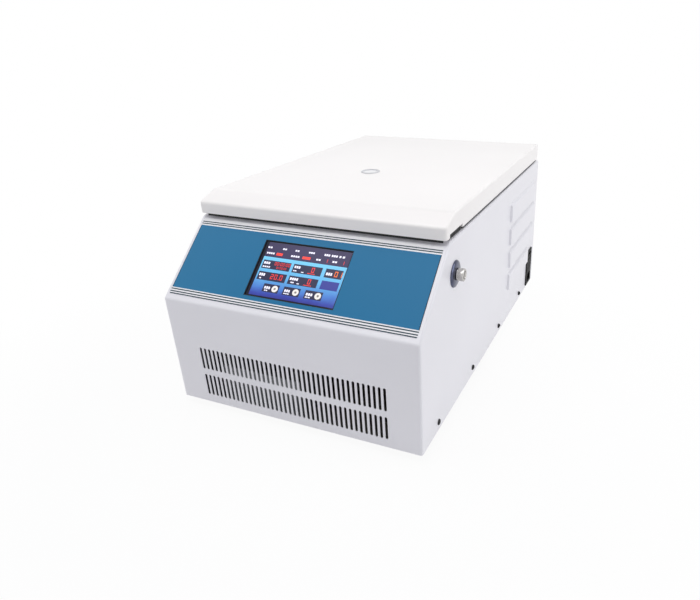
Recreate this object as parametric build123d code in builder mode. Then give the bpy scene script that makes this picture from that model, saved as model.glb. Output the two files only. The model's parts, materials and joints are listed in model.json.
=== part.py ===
"""Bench cytocentrifuge with a refrigerated bowl, a hinged lid and a six-place slide rotor.

Frame: millimetres, +X to the operator's right, +Y to the back, +Z up.  The origin lies on the
bench, on the middle plane, below the foot of the front face.
"""
from build123d import *
from math import cos, radians, sin, tan
import os

# ---- driving dimensions -------------------------------------------------------------------
# cabinet
width = 430.0                 # outside, over the side panels
depth = 692.0                 # outside, front face to rear face
front_height = 179.0          # upright part of the front face
deck_height = 281.0           # cabinet bottom edge to the deck
slope_angle = 41.5            # console slope, from level
foot_height = 14.0
foot_radius = 15.0
foot_taper = 2.0              # smaller radius at the ground
foot_inset = 52.0             # foot centre to the cabinet's sides
sheet = 1.5                   # steel sheet of the cabinet
fold_radius = 4.0             # outside radius of the folds along the side panels
crease_radius = 6.0           # outside radius of the folds across the front
brow_radius = 20.0            # slope rolling over into the deck
side_return = 12.0            # side panel's flange onto front, deck and back
seam_below_crease = 8.0       # front panel ends this far under the front crease
console_landing = 10.0        # console panel runs this far onto the deck
tray_flange = 24.0

# grilles
slot_width = 3.8
slot_height = 38.5
slot_count = 40
slot_pitch = 8.21
slot_row_low = 33.5           # row centres above the cabinet bottom edge
slot_row_high = 82.0
slot_room = 3.0               # tray flange ends this far below the slots
rear_slot_columns = 2
rear_slot_rows = 7
rear_slot_height = 7.6
rear_slot_land = 13.0         # metal between the columns and beside them
floor_slot_count = 9
floor_slot_length = 62.0
floor_slot_width = 7.6
floor_slot_pitch = 16.4

# side louvres, screws, power inlet and lid release
louvre_count = 4
louvre_pitch = 47.2
louvre_top = 244.0            # top edge of the highest one above the cabinet bottom edge
louvre_height = 35.0
louvre_length = 207.0
louvre_inset = 32.0           # louvres end this far ahead of the cabinet's rear face
louvre_bulge = 4.5
louvre_rise = 6.0             # height over which a hood's head swells out
louvre_slit = 7.0
side_screw_count = 4
side_screw_first = 65.0
side_screw_last = 132.6       # last one ahead of the cabinet's rear face
screw_level = 13.8            # above the cabinet bottom edge
screw_head_radius = 4.8
screw_head_height = 2.4
screw_head_rim = 1.0          # upright edge of the head
screw_head_flat = 2.9         # radius of its flat top
screw_shank_radius = 2.0
screw_length = 9.0
nut_radius = 4.0
nut_height = 3.0
rear_screw_spacing = 150.0
inlet_width = 44.0
inlet_height = 82.0
inlet_inset = 47.0            # inlet's middle ahead of the cabinet's rear face
inlet_level = 46.0            # centre above the cabinet bottom edge
inlet_depth = 46.0
inlet_flange = 2.5
inlet_edge = 0.8
socket_width = 28.0
socket_height = 20.0
socket_depth = 20.0
socket_chamfer = 5.0
socket_foot = 4.0             # body below the socket
rocker_width = 22.0
rocker_height = 15.0
rocker_depth = 12.0
rocker_head = 4.5             # body above the rocker
rocker_heel = 4.0             # back of the rocker, behind the panel's face
rocker_dip = 0.5              # its pressed end, below the flange
rocker_rise = 2.0             # its raised end, above the flange
rocker_lip = 0.8              # its faces end this far inside its opening
axle_radius = 1.5
axle_length = 2.5
fuse_width = 28.0
fuse_height = 9.0
fuse_line = 1.0               # groove round the fuse drawer
fuse_groove = 0.6
pin_thickness = 2.0
pin_height = 4.0
pin_spacing = 14.0
pin_step = 4.0                # earth pin above the other two
pin_recess = 4.0              # pin ends inside the socket's mouth
knob_y = 134.5
knob_level = 227.0
rosette_radius = 20.5
rosette_height = 4.0
knob_radius = 9.5
knob_reach = 15.0             # knob face out of the side panel
knob_stem_radius = 5.0
knob_stem_inside = 32.0       # stem behind the panel
knob_edge = 1.0
knob_lip = 2.5                # flat rim round the recess
knob_recess = 2.5
knob_travel = 8.0

# console
label_width = 416.0
label_start = 9.0             # up the slope from the front crease
label_length = 137.0
label_thickness = 0.5
screen_width = 152.5          # opening in the console
screen_height = 94.5
screen_middle = 74.4          # up the slope
screen_border = 6.0           # glass behind the console round its opening
screen_thickness = 4.0
screen_edge = 0.5
display_depth = 14.0
bracket_slots = 3
bracket_slot_length = 47.0
bracket_slot_width = 30.0
bracket_slot_pitch = 51.0
board_gap = 10.0
board_inset = 10.0            # board's edges inside the screen opening's
spacer_radius = 3.0
spacer_inset = 7.0            # spacers inside the board's edges
chip_height = 5.0
chips = ((-35, 12, 30, 24), (20, -8, 22, 22), (42, 18, 14, 26), (-30, -22, 40, 9))

# motor drive
drive_width = 150.0
drive_length = 86.0
drive_height = 58.0
drive_fins = 9
drive_fin_height = 14.5
drive_fin_thickness = 3.0
drive_edge = 6.0              # fins end this far inside the box
drive_room = 24.0             # box behind the front panel

# lid
lid_side_inset = 2.5          # lid's sides inside the cabinet's
lid_front = 107.2
lid_rear_inset = 4.0          # lid's rear edge ahead of the cabinet's
lid_gap = 4.2                 # skirt to deck
lid_nose = 18.6               # upright part of the lid's front
lid_height = 30.8             # skirt edge to top
lid_bevel = 38.0              # length of the rise behind the nose
lid_corner = 5.0
lid_edge = 4.0
lid_wall = 3.0
liner_thickness = 2.0
liner_rise = 1.0              # liner above the skirt edge
lid_open = 80.0
port_x = -18.0
port_y = 335.0
port_radius = 17.0
port_window_radius = 13.8
port_ring_height = 1.2
port_ring_lap = 1.0           # ring over the window's edge
buffer_start = 121.0
buffer_length = 52.0
buffer_width = 6.0
buffer_room = 3.0             # liner stays this far inside the buffers
buffer_notch = 5.4            # notch in the skirt over the buffer
notch_room = 1.0              # notches reach past the buffers' ends

# hinges
hinge_spacing = 280.0
hinge_length = 84.0
hinge_knuckles = 5
knuckle_radius = 4.0
hinge_pin_radius = 2.0
hinge_inset = 8.0             # hinge axis ahead of the cabinet's rear face
hinge_rise = 6.0              # hinge axis above the deck
hinge_leaf = 2.0
hinge_leaf_length = 30.0
rear_skirt_relief = 7.5

# bowl and drive
rotor_y = 335.0
bowl_radius = 150.0
bowl_depth = 150.0
bowl_sheet = 1.2
bowl_corner = 18.0
bowl_rim = 10.0
bowl_hole = 22.0
gasket_width = 7.0
gasket_edge = 1.75
coil_turns = 5
coil_tube = 4.0               # radius of the evaporator tube
coil_pitch = 20.0
foam_thickness = 22.0
foam_floor = 10.0
motor_radius = 62.0
motor_height = 96.0
motor_gap = 16.0              # motor top below the bowl floor
motor_flange_radius = 78.0
motor_flange_height = 8.0
motor_cap_radius = 37.0       # flat ends of the can
motor_shoulder = 9.0          # its end bells slope down over this height
motor_fins = 16
motor_fin_height = 3.0
motor_fin_thickness = 2.0
motor_plate_size = 200.0
motor_plate_thickness = 5.0
mount_radius = 15.0
mount_waist = 12.0
mount_height = 34.0
mount_inset = 20.0
bearing_radius = 16.0
bearing_height = 9.0
shaft_room = 2.0              # radial, round the spindle between its bearings
spindle_radius = 8.0
spindle_foot = 2.0            # spindle's end inside the motor's end face
boot_wall = 7.5
boot_lip = 3.75
boot_edge = 1.0

# rotor
stations = 6
carrier_radius = 134.0
carrier_wall = 3.0
carrier_rise = 16.0           # carrier floor above the bowl floor
carrier_rim = 18.0
hub_radius = 22.0
hub_height = 66.0
hub_flare = 11.0
pivot_radius = 92.0           # trunnions from the rotor axis
pivot_rise = 76.0             # trunnions above the carrier floor
trunnion_radius = 2.5
ear_thickness = 3.0
ear_foot = 13.0
ear_head = 7.0
cover_height = 88.0
cover_wall = 2.5
cover_crown_radius = 74.0     # flat top
cover_shoulder_radius = 120.0
cover_shoulder_drop = 11.0
cover_skirt_drop = 29.0       # foot of the shoulder below the top
cover_knob_radius = 20.0
cover_knob_height = 16.0
cover_knob_lobes = 6
cover_knob_scallop = 6.7      # radius of the hollows between the lobes
cover_knob_edge = 1.0
cover_stud_radius = 5.0
cover_stud_seat = 18.0        # length of the stud down in the hub
cover_stud_head = 11.0        # and up inside the knob

# slide holders
rest_lean = 15.0              # holder leans by this much when the rotor stands still
clip_sheet = 1.2
clip_width = 31.2
clip_face = 22.0              # clip's back plate from the trunnion axis
clip_drop = 60.0
clip_head = 16.0
clip_lip = 8.0
chamber_width = 26.0
chamber_plate = 3.0
well_radius = 11.0
well_wall = 1.6
well_drop = 38.0
well_head = 13.0
port_drop = 30.0              # sample port below the trunnions
port_tube_radius = 7.0
port_bore_radius = 3.5
duct_radius = 4.0             # bore at the foot of the well
duct_head = 25.5              # where it widens, below the trunnions
well_taper = 7.5              # where the taper ends, below the trunnions
well_shoulder = 4.0

# cooling
compressor_radius = 55.0
compressor_height = 140.0
compressor_crown = 22.0
compressor_foot_height = 10.0
compressor_foot_radius = 7.0
compressor_base = 99.0
compressor_x = -110.0
compressor_inset = 92.0       # its middle ahead of the cabinet's rear face
condenser_width = 190.0
condenser_height = 150.0
condenser_depth = 28.0
condenser_x = 50.0
condenser_level = 96.0        # core above the tray
condenser_gap = 14.0          # core ahead of the rear panel
fin_count = 19
fin_overhang = 6.0            # fins beyond the tube block, above and below
fan_size = 120.0
fan_depth = 32.0
fan_duct_radius = 56.0
fan_hub_radius = 19.0
fan_corner = 5.0
fan_seat = 6.0                # motor's seat and struts
fan_struts = 4
strut_width = 4.0
fan_shaft_radius = 3.0
fan_recess = 2.0              # hub's face inside the frame
fan_blades = 7
blade_thickness = 2.0
blade_room = 1.5              # blade tips to the duct
blade_root_chord = 20.0
blade_tip_chord = 23.0
blade_pitch = 35.0            # degrees
blade_root = 2.0              # blades start this far inside the hub

# clearances
slip = 0.3                    # between pieces that only lie near each other
running_fit = 0.05            # radial, shafts and pins in their bores
bolt_room = 0.3               # radial, screw shanks in their holes
past = 1.0                    # cutting shapes reach this far past what they cut

# lock
striker_thickness = 3.0
striker_length = 24.0
striker_reach = 18.0          # below the deck
striker_room = 2.5
lock_reach = 189.0            # lock ahead of the rotor axis
lock_width = 68.0
lock_depth = 40.0
lock_height = 48.0
lock_corner = 3.0
lock_floor_room = 3.0         # striker's tip to the floor of its cavity
bolt_radius = 4.0
bolt_edge = 1.0
bolt_travel = 8.0
bolt_collar_radius = 6.5
bolt_tail = 12.0

# ---- derived datums -----------------------------------------------------------------------
base_z = foot_height
deck_z = base_z + deck_height
crease_z = base_z + front_height
slope_run = (deck_height - front_height) / tan(radians(slope_angle))
tray_top = base_z + sheet
half_width = width / 2
inner_half = half_width - side_return
console_end = slope_run + console_landing
louvre_front = depth - louvre_inset - louvre_length
inlet_y = depth - inlet_inset
side_screw_pitch = (depth - side_screw_last - side_screw_first) / (side_screw_count - 1)
compressor_y = depth - compressor_inset
lock_y = rotor_y - lock_reach
lid_width = width - 2 * lid_side_inset
lid_rear = depth - lid_rear_inset
buffer_x = lid_width / 2 - lid_wall - buffer_width / 2
lid_bottom = deck_z + lid_gap
lid_top = lid_bottom + lid_height
lid_length = lid_rear - lid_front
lid_middle_y = (lid_front + lid_rear) / 2
liner_z = lid_bottom + liner_rise
hinge_y = depth - hinge_inset
hinge_z = deck_z + hinge_rise
bowl_floor = deck_z - bowl_depth
motor_top = bowl_floor - motor_gap
motor_bottom = motor_top - motor_height
plate_z = tray_top + mount_height
carrier_z = bowl_floor + carrier_rise
pivot_z = carrier_z + pivot_rise
cover_z = carrier_z + carrier_rim
cover_top = cover_z + cover_height
hub_top = carrier_z + hub_height
slope_plane = Plane(origin=(0, 0, crease_z), x_dir=(1, 0, 0),
                    z_dir=(0, -sin(radians(slope_angle)), cos(radians(slope_angle))))

os.makedirs("parts", exist_ok=True)


def save(piece, name):
    """Label a finished piece and write it as its own STEP file."""
    piece.part.label = name
    export_step(piece.part, f"parts/{name}.step")


# ---- cabinet panels -----------------------------------------------------------------------
def cabinet_form(inset):
    """Closed form of the cabinet, drawn in by `inset` everywhere but at the open bottom."""
    slope_shift = inset / cos(radians(slope_angle))
    front_corner = crease_z + inset * tan(radians(slope_angle)) - slope_shift
    brow_corner = slope_run + (slope_shift - inset) / tan(radians(slope_angle))
    with BuildPart() as form:
        with BuildSketch(Plane.YZ.offset(inset - half_width)):
            with BuildLine():
                Polyline((inset, base_z), (inset, front_corner), (brow_corner, deck_z - inset),
                         (depth - inset, deck_z - inset), (depth - inset, base_z), close=True)
            make_face()
            corners = vertices().filter_by_position(Axis.Y, base_z + sheet, deck_z)
            brow = corners.sort_by_distance((brow_corner, deck_z - inset))[0]
            fillet([v for v in corners if v is not brow], crease_radius - inset)
            brow = vertices().sort_by_distance((brow_corner, deck_z - inset))[0]
            fillet(brow, brow_radius - inset)
        extrude(amount=width - 2 * inset)
        ends = faces().filter_by(Axis.X)
        rims = [e for f in ends for e in f.edges() if e.center().Z > base_z + sheet / 2]
        fillet(rims, fold_radius - inset)
    return form.part


with BuildPart() as casing:
    add(cabinet_form(0))
    add(cabinet_form(sheet), mode=Mode.SUBTRACT)


def cut_box(low, high, mode):
    """Box between two corners, joined, cut or kept by `mode`."""
    size = [b - a for a, b in zip(low, high)]
    centre = [(a + b) / 2 for a, b in zip(low, high)]
    with Locations(tuple(centre)):
        Box(*size, mode=mode)


# front panel with its grille of round-ended slots
with BuildPart() as front_panel:
    add(casing.part)
    cut_box((-inner_half, -past, base_z),
            (inner_half, side_return, crease_z - seam_below_crease),
            Mode.INTERSECT)
    with BuildSketch(Plane.XZ):
        for level in (slot_row_low, slot_row_high):
            with Locations((0, base_z + level)):
                with GridLocations(slot_pitch, slot_height, slot_count, 1):
                    SlotOverall(slot_height, slot_width, rotation=90)
    extrude(amount=-side_return, mode=Mode.SUBTRACT)
save(front_panel, "front_panel")

# console panel: front crease, slope with the screen opening, and the brow
with BuildPart() as console_panel:
    add(casing.part)
    cut_box((-inner_half, -past, crease_z - seam_below_crease),
            (inner_half, console_end, deck_z + past), Mode.INTERSECT)
    with BuildSketch(slope_plane.offset(-2 * sheet)):
        with Locations((0, screen_middle)):
            Rectangle(screen_width, screen_height)
    extrude(amount=4 * sheet, mode=Mode.SUBTRACT)
save(console_panel, "console_panel")

# deck panel with the bowl opening and the striker slot
striker_slot_x = striker_thickness + 2 * striker_room
striker_slot_y = striker_length + 2 * striker_room
with BuildPart() as deck_panel:
    add(casing.part)
    cut_box((-inner_half, console_end, deck_z - side_return),
            (inner_half, depth - side_return, deck_z + past), Mode.INTERSECT)
    with BuildSketch(Plane.XY.offset(deck_z)):
        with Locations((0, rotor_y)):
            Circle(bowl_radius + bowl_sheet + slip)
        with Locations((0, lock_y)):
            Rectangle(striker_slot_x, striker_slot_y)
    extrude(amount=-2 * sheet, mode=Mode.SUBTRACT)
save(deck_panel, "deck_panel")

# rear panel with an exhaust grille behind the condenser
rear_slot_length = ((condenser_width - (rear_slot_columns + 1) * rear_slot_land)
                    / rear_slot_columns)
with BuildPart() as rear_panel:
    add(casing.part)
    cut_box((-inner_half, depth - side_return, base_z),
            (inner_half, depth + past, deck_z + past), Mode.INTERSECT)
    with BuildSketch(Plane.XZ.offset(-depth)):
        with Locations((condenser_x, tray_top + condenser_level + condenser_height / 2)):
            with GridLocations(rear_slot_length + rear_slot_land,
                               condenser_height / (rear_slot_rows + 1), rear_slot_columns,
                               rear_slot_rows):
                SlotOverall(rear_slot_length, rear_slot_height)
        with Locations((0, base_z + screw_level)):
            with GridLocations(rear_screw_spacing, 1, 3, 1):
                Circle(screw_shank_radius + bolt_room)
    extrude(amount=2 * sheet, both=True, mode=Mode.SUBTRACT)
save(rear_panel, "rear_panel")


def side_panel(side):
    """Right (+1) or left (-1) panel with its louvres and screw holes."""
    outer = Plane(origin=(side * half_width, 0, 0), x_dir=(0, side, 0), z_dir=(side, 0, 0))
    low_x, high_x = sorted((side * inner_half, side * (half_width + past)))
    tops = [base_z + louvre_top - i * louvre_pitch for i in range(louvre_count)]
    with BuildPart() as panel:
        add(casing.part)
        cut_box((low_x, -past, base_z), (high_x, depth + past, deck_z + past), Mode.INTERSECT)
        for top in tops:
            # pressed hood, open downwards: its sloped head, face and ends are one sheet thick
            foot = top - louvre_height
            for shrink, mode in ((0, Mode.ADD), (sheet, Mode.SUBTRACT)):
                with BuildSketch(Plane.XZ.offset(-louvre_front - shrink)):
                    with BuildLine():
                        Polyline((side * (half_width - shrink), foot - shrink),
                                 (side * (half_width + louvre_bulge - shrink), foot - shrink),
                                 (side * (half_width + louvre_bulge - shrink),
                                  top - louvre_rise - shrink / 2),
                                 (side * (half_width - shrink), top - shrink / 2), close=True)
                    make_face()
                extrude(amount=2 * shrink - louvre_length, mode=mode)
        if side > 0:
            # flat seat pressed back for the power inlet where it meets the lowest hood
            seat = inlet_y - inlet_width / 2 - slip, base_z + inlet_level - inlet_height / 2 - slip
            cut_box((half_width, *seat),
                    (half_width + louvre_bulge, seat[0] + inlet_width + 2 * slip,
                     seat[1] + inlet_height + 2 * slip), Mode.SUBTRACT)
        with BuildSketch(outer):
            for top in tops:
                with Locations((side * (louvre_front + louvre_length / 2),
                                top - louvre_height + louvre_slit / 2)):
                    Rectangle(louvre_length - 2 * sheet, louvre_slit)
            for i in range(side_screw_count):
                with Locations((side * (side_screw_first + i * side_screw_pitch),
                                base_z + screw_level)):
                    Circle(screw_shank_radius + bolt_room)
            if side > 0:
                with Locations((knob_y, base_z + knob_level)):
                    Circle(knob_stem_radius + 2 * slip)
                with Locations((inlet_y, base_z + inlet_level)):
                    Rectangle(inlet_width - 2 * inlet_flange + 2 * slip,
                              inlet_height - 2 * inlet_flange + 2 * slip)
        extrude(amount=-2 * sheet, mode=Mode.SUBTRACT)
    return panel


save(side_panel(1), "right_side_panel")
save(side_panel(-1), "left_side_panel")

# base tray: floor plate with an upturned flange all round, inside the panels
tray_width = width - 2 * sheet
tray_length = depth - 2 * sheet
foot_spacing_x = width - 2 * foot_inset
foot_spacing_y = depth - 2 * foot_inset
screw_level_z = base_z + screw_level
with BuildPart() as base_tray:
    with BuildSketch(Plane.XY.offset(base_z)):
        with Locations((0, depth / 2)):
            RectangleRounded(tray_width, tray_length, fold_radius)
    extrude(amount=tray_flange)
    with BuildSketch(Plane.XY.offset(tray_top)):
        with Locations((0, depth / 2)):
            RectangleRounded(tray_width - 2 * sheet, tray_length - 2 * sheet, fold_radius - sheet)
    extrude(amount=tray_flange, mode=Mode.SUBTRACT)
    with BuildSketch(Plane.YZ.offset(-half_width)):
        for i in range(side_screw_count):
            with Locations((side_screw_first + i * side_screw_pitch, screw_level_z)):
                Circle(screw_shank_radius + bolt_room)
    extrude(amount=width, mode=Mode.SUBTRACT)
    with BuildSketch(Plane.XZ.offset(-depth)):
        with Locations((0, screw_level_z)):
            with GridLocations(rear_screw_spacing, 1, 3, 1):
                Circle(screw_shank_radius + bolt_room)
    extrude(amount=3 * sheet, mode=Mode.SUBTRACT)
    # the flange is cut down behind the front grille and stops short of the power inlet
    grille_half = slot_count * slot_pitch / 2
    cut_box((-grille_half, 0, base_z + slot_row_low - slot_height / 2 - slot_room),
            (grille_half, side_return, base_z + tray_flange + past), Mode.SUBTRACT)
    cut_box((inner_half, inlet_y - inlet_width / 2 - slip, tray_top),
            (half_width, inlet_y + inlet_width / 2 + slip, base_z + tray_flange), Mode.SUBTRACT)
    with BuildSketch(Plane.XY.offset(base_z)):
        with Locations((0, depth / 2)):
            with GridLocations(foot_spacing_x, foot_spacing_y, 2, 2):
                Circle(screw_shank_radius + bolt_room)
        with Locations((0, rotor_y)):
            with GridLocations(floor_slot_pitch, 1, floor_slot_count, 1):
                SlotOverall(floor_slot_length, floor_slot_width, rotation=90)
    extrude(amount=sheet, mode=Mode.SUBTRACT)
save(base_tray, "base_tray")

# rubber feet: tapered pads with a stud up through the tray
with BuildPart() as foot:
    with BuildSketch(Plane.XZ):
        with BuildLine():
            Polyline((0, 0), (foot_radius - foot_taper, 0), (foot_radius, base_z),
                     (screw_shank_radius, base_z), (screw_shank_radius, tray_top),
                     (nut_radius, tray_top), (nut_radius, tray_top + nut_height),
                     (0, tray_top + nut_height), close=True)
        make_face()
    revolve(axis=Axis.Z)

with BuildPart() as rubber_feet:
    with Locations((0, depth / 2, 0)):
        with GridLocations(foot_spacing_x, foot_spacing_y, 2, 2):
            add(foot.part)
save(rubber_feet, "rubber_feet")

# cabinet screws: pan heads on the panels, shanks through panel and tray flange
with BuildPart() as screw:
    with BuildSketch(Plane.XZ):
        with BuildLine():
            Polyline((0, -screw_length), (screw_shank_radius, -screw_length),
                     (screw_shank_radius, 0), (screw_head_radius, 0),
                     (screw_head_radius, screw_head_rim), (screw_head_flat, screw_head_height),
                     (0, screw_head_height), close=True)
        make_face()
    revolve(axis=Axis.Z)

with BuildPart() as cabinet_screws:
    for side in (-1, 1):
        for i in range(side_screw_count):
            seat = (side * half_width, side_screw_first + i * side_screw_pitch, screw_level_z)
            with Locations(Plane(origin=seat, x_dir=(0, 1, 0), z_dir=(side, 0, 0))):
                add(screw.part)
    for i in (-1, 0, 1):
        seat = (i * rear_screw_spacing, depth, screw_level_z)
        with Locations(Plane(origin=seat, x_dir=(1, 0, 0), z_dir=(0, 1, 0))):
            add(screw.part)
save(cabinet_screws, "cabinet_screws")

# ---- console ------------------------------------------------------------------------------
# printed label film with its window
with BuildPart() as control_label:
    with BuildSketch(slope_plane):
        with Locations((0, label_start + label_length / 2)):
            RectangleRounded(label_width, label_length, 2 * sheet)
        with Locations((0, screen_middle)):
            Rectangle(screen_width, screen_height, mode=Mode.SUBTRACT)
    extrude(amount=label_thickness)
save(control_label, "control_label")

# touch screen: glass pressed against the back of the console
glass_width = screen_width + 2 * screen_border
glass_height = screen_height + 2 * screen_border
with BuildPart() as touch_screen:
    with BuildSketch(slope_plane.offset(-sheet - screen_thickness)):
        with Locations((0, screen_middle)):
            RectangleRounded(glass_width, glass_height, 2 * sheet)
    extrude(amount=screen_thickness)
    chamfer(faces().sort_by(Axis((0, 0, 0), slope_plane.z_dir))[-1].edges(), screen_edge)
save(touch_screen, "touch_screen")

# display bracket: folded pan that holds the display against the console from behind
pan_top = sheet + screen_thickness
with BuildPart() as display_bracket:
    with BuildSketch(slope_plane.offset(-pan_top - display_depth)):
        with Locations((0, screen_middle)):
            RectangleRounded(glass_width, glass_height, 2 * sheet)
    extrude(amount=display_depth)
    with BuildSketch(slope_plane.offset(-pan_top)):
        with Locations((0, screen_middle)):
            Rectangle(screen_width, screen_height)
    extrude(amount=-display_depth + sheet, mode=Mode.SUBTRACT)
    with BuildSketch(slope_plane.offset(-pan_top - display_depth)):
        with Locations((0, screen_middle)):
            with GridLocations(bracket_slot_pitch, 1, bracket_slots, 1):
                SlotOverall(bracket_slot_length, bracket_slot_width, rotation=90)
    extrude(amount=sheet, mode=Mode.SUBTRACT)
    for side in (-1, 1):
        # ears that reach out to the console, beside the glass
        with BuildSketch(slope_plane.offset(-sheet)):
            with Locations((side * (glass_width / 2 + slip + sheet), screen_middle)):
                Rectangle(2 * sheet, glass_height / 2)
        extrude(amount=-screen_thickness - display_depth)
        with BuildSketch(slope_plane.offset(-pan_top - display_depth)):
            with Locations((side * (glass_width / 2 + sheet / 2), screen_middle)):
                Rectangle(sheet, glass_height / 2)
        extrude(amount=display_depth)
save(display_bracket, "display_bracket")

# control board on four spacers behind the display
board_low = -pan_top - display_depth - board_gap
board_width = screen_width - 2 * board_inset
board_height = screen_height - 2 * board_inset
with BuildPart() as control_board:
    with BuildSketch(slope_plane.offset(board_low)):
        with Locations((0, screen_middle)):
            RectangleRounded(board_width, board_height, spacer_radius)
    extrude(amount=sheet)
    with BuildSketch(slope_plane.offset(board_low + sheet)):
        with Locations((0, screen_middle)):
            with GridLocations(board_width - 2 * spacer_inset, board_height - 2 * spacer_inset,
                               2, 2):
                Circle(spacer_radius)
    extrude(amount=board_gap - sheet)
    with BuildSketch(slope_plane.offset(board_low)):
        for across, along, chip_width, chip_length in chips:
            with Locations((across, screen_middle + along)):
                Rectangle(chip_width, chip_length)
    extrude(amount=-chip_height)
save(control_board, "control_board")

# motor drive: finned aluminium box on the tray, behind the front grille
drive_x = foot_radius + drive_width / 2 - foot_spacing_x / 2
drive_y = drive_room + drive_length / 2
with BuildPart() as motor_drive:
    with BuildSketch(Plane.XY.offset(tray_top)):
        with Locations((drive_x, drive_y)):
            RectangleRounded(drive_width, drive_length, 2 * sheet)
    extrude(amount=drive_height)
    with BuildSketch(Plane.XY.offset(tray_top + drive_height)):
        with Locations((drive_x, drive_y)):
            with GridLocations(drive_width / drive_fins, 1, drive_fins, 1):
                Rectangle(drive_fin_thickness, drive_length - drive_edge)
    extrude(amount=drive_fin_height)
save(motor_drive, "motor_drive")

# ---- power inlet on the right panel -------------------------------------------------------
inlet_plane = Plane(origin=(half_width, inlet_y, base_z + inlet_level),
                    x_dir=(0, 1, 0), z_dir=(1, 0, 0))
body_width = inlet_width - 2 * inlet_flange
body_height = inlet_height - 2 * inlet_flange
socket_centre = socket_foot + socket_height / 2 - body_height / 2
rocker_centre = body_height / 2 - rocker_head - rocker_height / 2
fuse_centre = (socket_centre + socket_height / 2 + rocker_centre - rocker_height / 2) / 2
with BuildPart() as power_inlet:
    with BuildSketch(inlet_plane):
        RectangleRounded(inlet_width, inlet_height, inlet_flange)
    extrude(amount=inlet_flange)
    chamfer(faces().sort_by(Axis.X)[-1].outer_wire().edges(), inlet_edge)
    with BuildSketch(inlet_plane):
        Rectangle(body_width, body_height)
    extrude(amount=-inlet_depth)
    with BuildSketch(inlet_plane.offset(inlet_flange)):
        with Locations((0, socket_centre)):
            Rectangle(socket_width, socket_height)
            chamfer(vertices().group_by(Axis.Y)[-1], socket_chamfer)
    extrude(amount=-socket_depth, mode=Mode.SUBTRACT)
    with BuildSketch(inlet_plane.offset(inlet_flange)):
        with Locations((0, rocker_centre)):
            Rectangle(rocker_width + 2 * slip, rocker_height + 2 * slip)
    extrude(amount=-rocker_depth, mode=Mode.SUBTRACT)
    # the rocker's axle ends sit in this cross bore
    with BuildSketch(Plane.XZ.offset(-inlet_y)):
        with Locations((half_width, inlet_plane.origin.Z + rocker_centre)):
            Circle(axle_radius + running_fit)
    extrude(amount=rocker_width / 2 + axle_length + slip, both=True, mode=Mode.SUBTRACT)
    # fuse drawer front: a framed lid between socket and switch
    with BuildSketch(inlet_plane.offset(inlet_flange)):
        with Locations((0, fuse_centre)):
            RectangleRounded(fuse_width, fuse_height, fuse_line)
            RectangleRounded(fuse_width - 2 * fuse_line, fuse_height - 2 * fuse_line,
                             fuse_line / 2, mode=Mode.SUBTRACT)
    extrude(amount=-fuse_groove, mode=Mode.SUBTRACT)
save(power_inlet, "power_inlet")

# three flat contact blades on the socket floor
with BuildPart() as inlet_pins:
    with BuildSketch(inlet_plane.offset(inlet_flange - socket_depth)):
        with Locations((0, socket_centre + pin_step / 2)):
            Rectangle(pin_thickness, pin_height)
        for side in (-1, 1):
            with Locations((side * pin_spacing / 2, socket_centre - pin_step / 2)):
                Rectangle(pin_thickness, pin_height)
    extrude(amount=socket_depth - pin_recess)
save(inlet_pins, "inlet_pins")

# rocker: shallow V across its face, on two axle ends
rocker_plane = Plane(origin=(half_width, inlet_y, inlet_plane.origin.Z + rocker_centre),
                     x_dir=(1, 0, 0), z_dir=(0, -1, 0))
rocker_half = rocker_height / 2
with BuildPart() as power_rocker:
    with BuildSketch(rocker_plane):
        with BuildLine():
            Polyline((-rocker_heel, -rocker_heel),
                     (inlet_flange - rocker_dip, rocker_lip - rocker_half),
                     (inlet_flange - rocker_dip, 0),
                     (inlet_flange + rocker_rise, rocker_half - rocker_lip),
                     (-rocker_heel, rocker_heel), close=True)
        make_face()
        Circle(axle_radius)
    extrude(amount=rocker_width / 2, both=True)
    with BuildSketch(rocker_plane):
        Circle(axle_radius)
    extrude(amount=rocker_width / 2 + axle_length, both=True)
save(power_rocker, "power_rocker")

# ---- lid release on the right panel -------------------------------------------------------
knob_z = base_z + knob_level
knob_plane = Plane(origin=(half_width, knob_y, knob_z), x_dir=(0, 1, 0), z_dir=(1, 0, 0))
with BuildPart() as rosette_turned:
    with BuildSketch(Plane.XZ):
        with BuildLine():
            Polyline((knob_stem_radius + running_fit, 0), (rosette_radius, 0))
            Line((rosette_radius, 0), (rosette_radius, 0.2 * rosette_height))
            ThreePointArc((rosette_radius, 0.2 * rosette_height),
                          (0.8 * rosette_radius, 0.68 * rosette_height),
                          (knob_radius, rosette_height))
            Polyline((knob_radius, rosette_height),
                     (knob_stem_radius + running_fit, rosette_height),
                     (knob_stem_radius + running_fit, 0))
        make_face()
    revolve(axis=Axis.Z)
with BuildPart() as release_rosette:
    with Locations(knob_plane):
        add(rosette_turned.part)
save(release_rosette, "release_rosette")

# pull knob: turned cylinder with a recessed face and a stem through the panel
with BuildPart() as knob_turned:
    with BuildSketch(Plane.XZ):
        with BuildLine():
            Polyline((0, -knob_stem_inside), (knob_stem_radius, -knob_stem_inside),
                     (knob_stem_radius, rosette_height + slip),
                     (knob_radius, rosette_height + slip), (knob_radius, knob_reach - knob_edge),
                     (knob_radius - knob_edge, knob_reach), (knob_radius - knob_lip, knob_reach),
                     (knob_radius - knob_lip - knob_edge / 2, knob_reach - knob_recess),
                     (0, knob_reach - knob_recess), close=True)
        make_face()
    revolve(axis=Axis.Z)
with BuildPart() as release_knob:
    with Locations(knob_plane):
        add(knob_turned.part)
save(release_knob, "release_knob")

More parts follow.
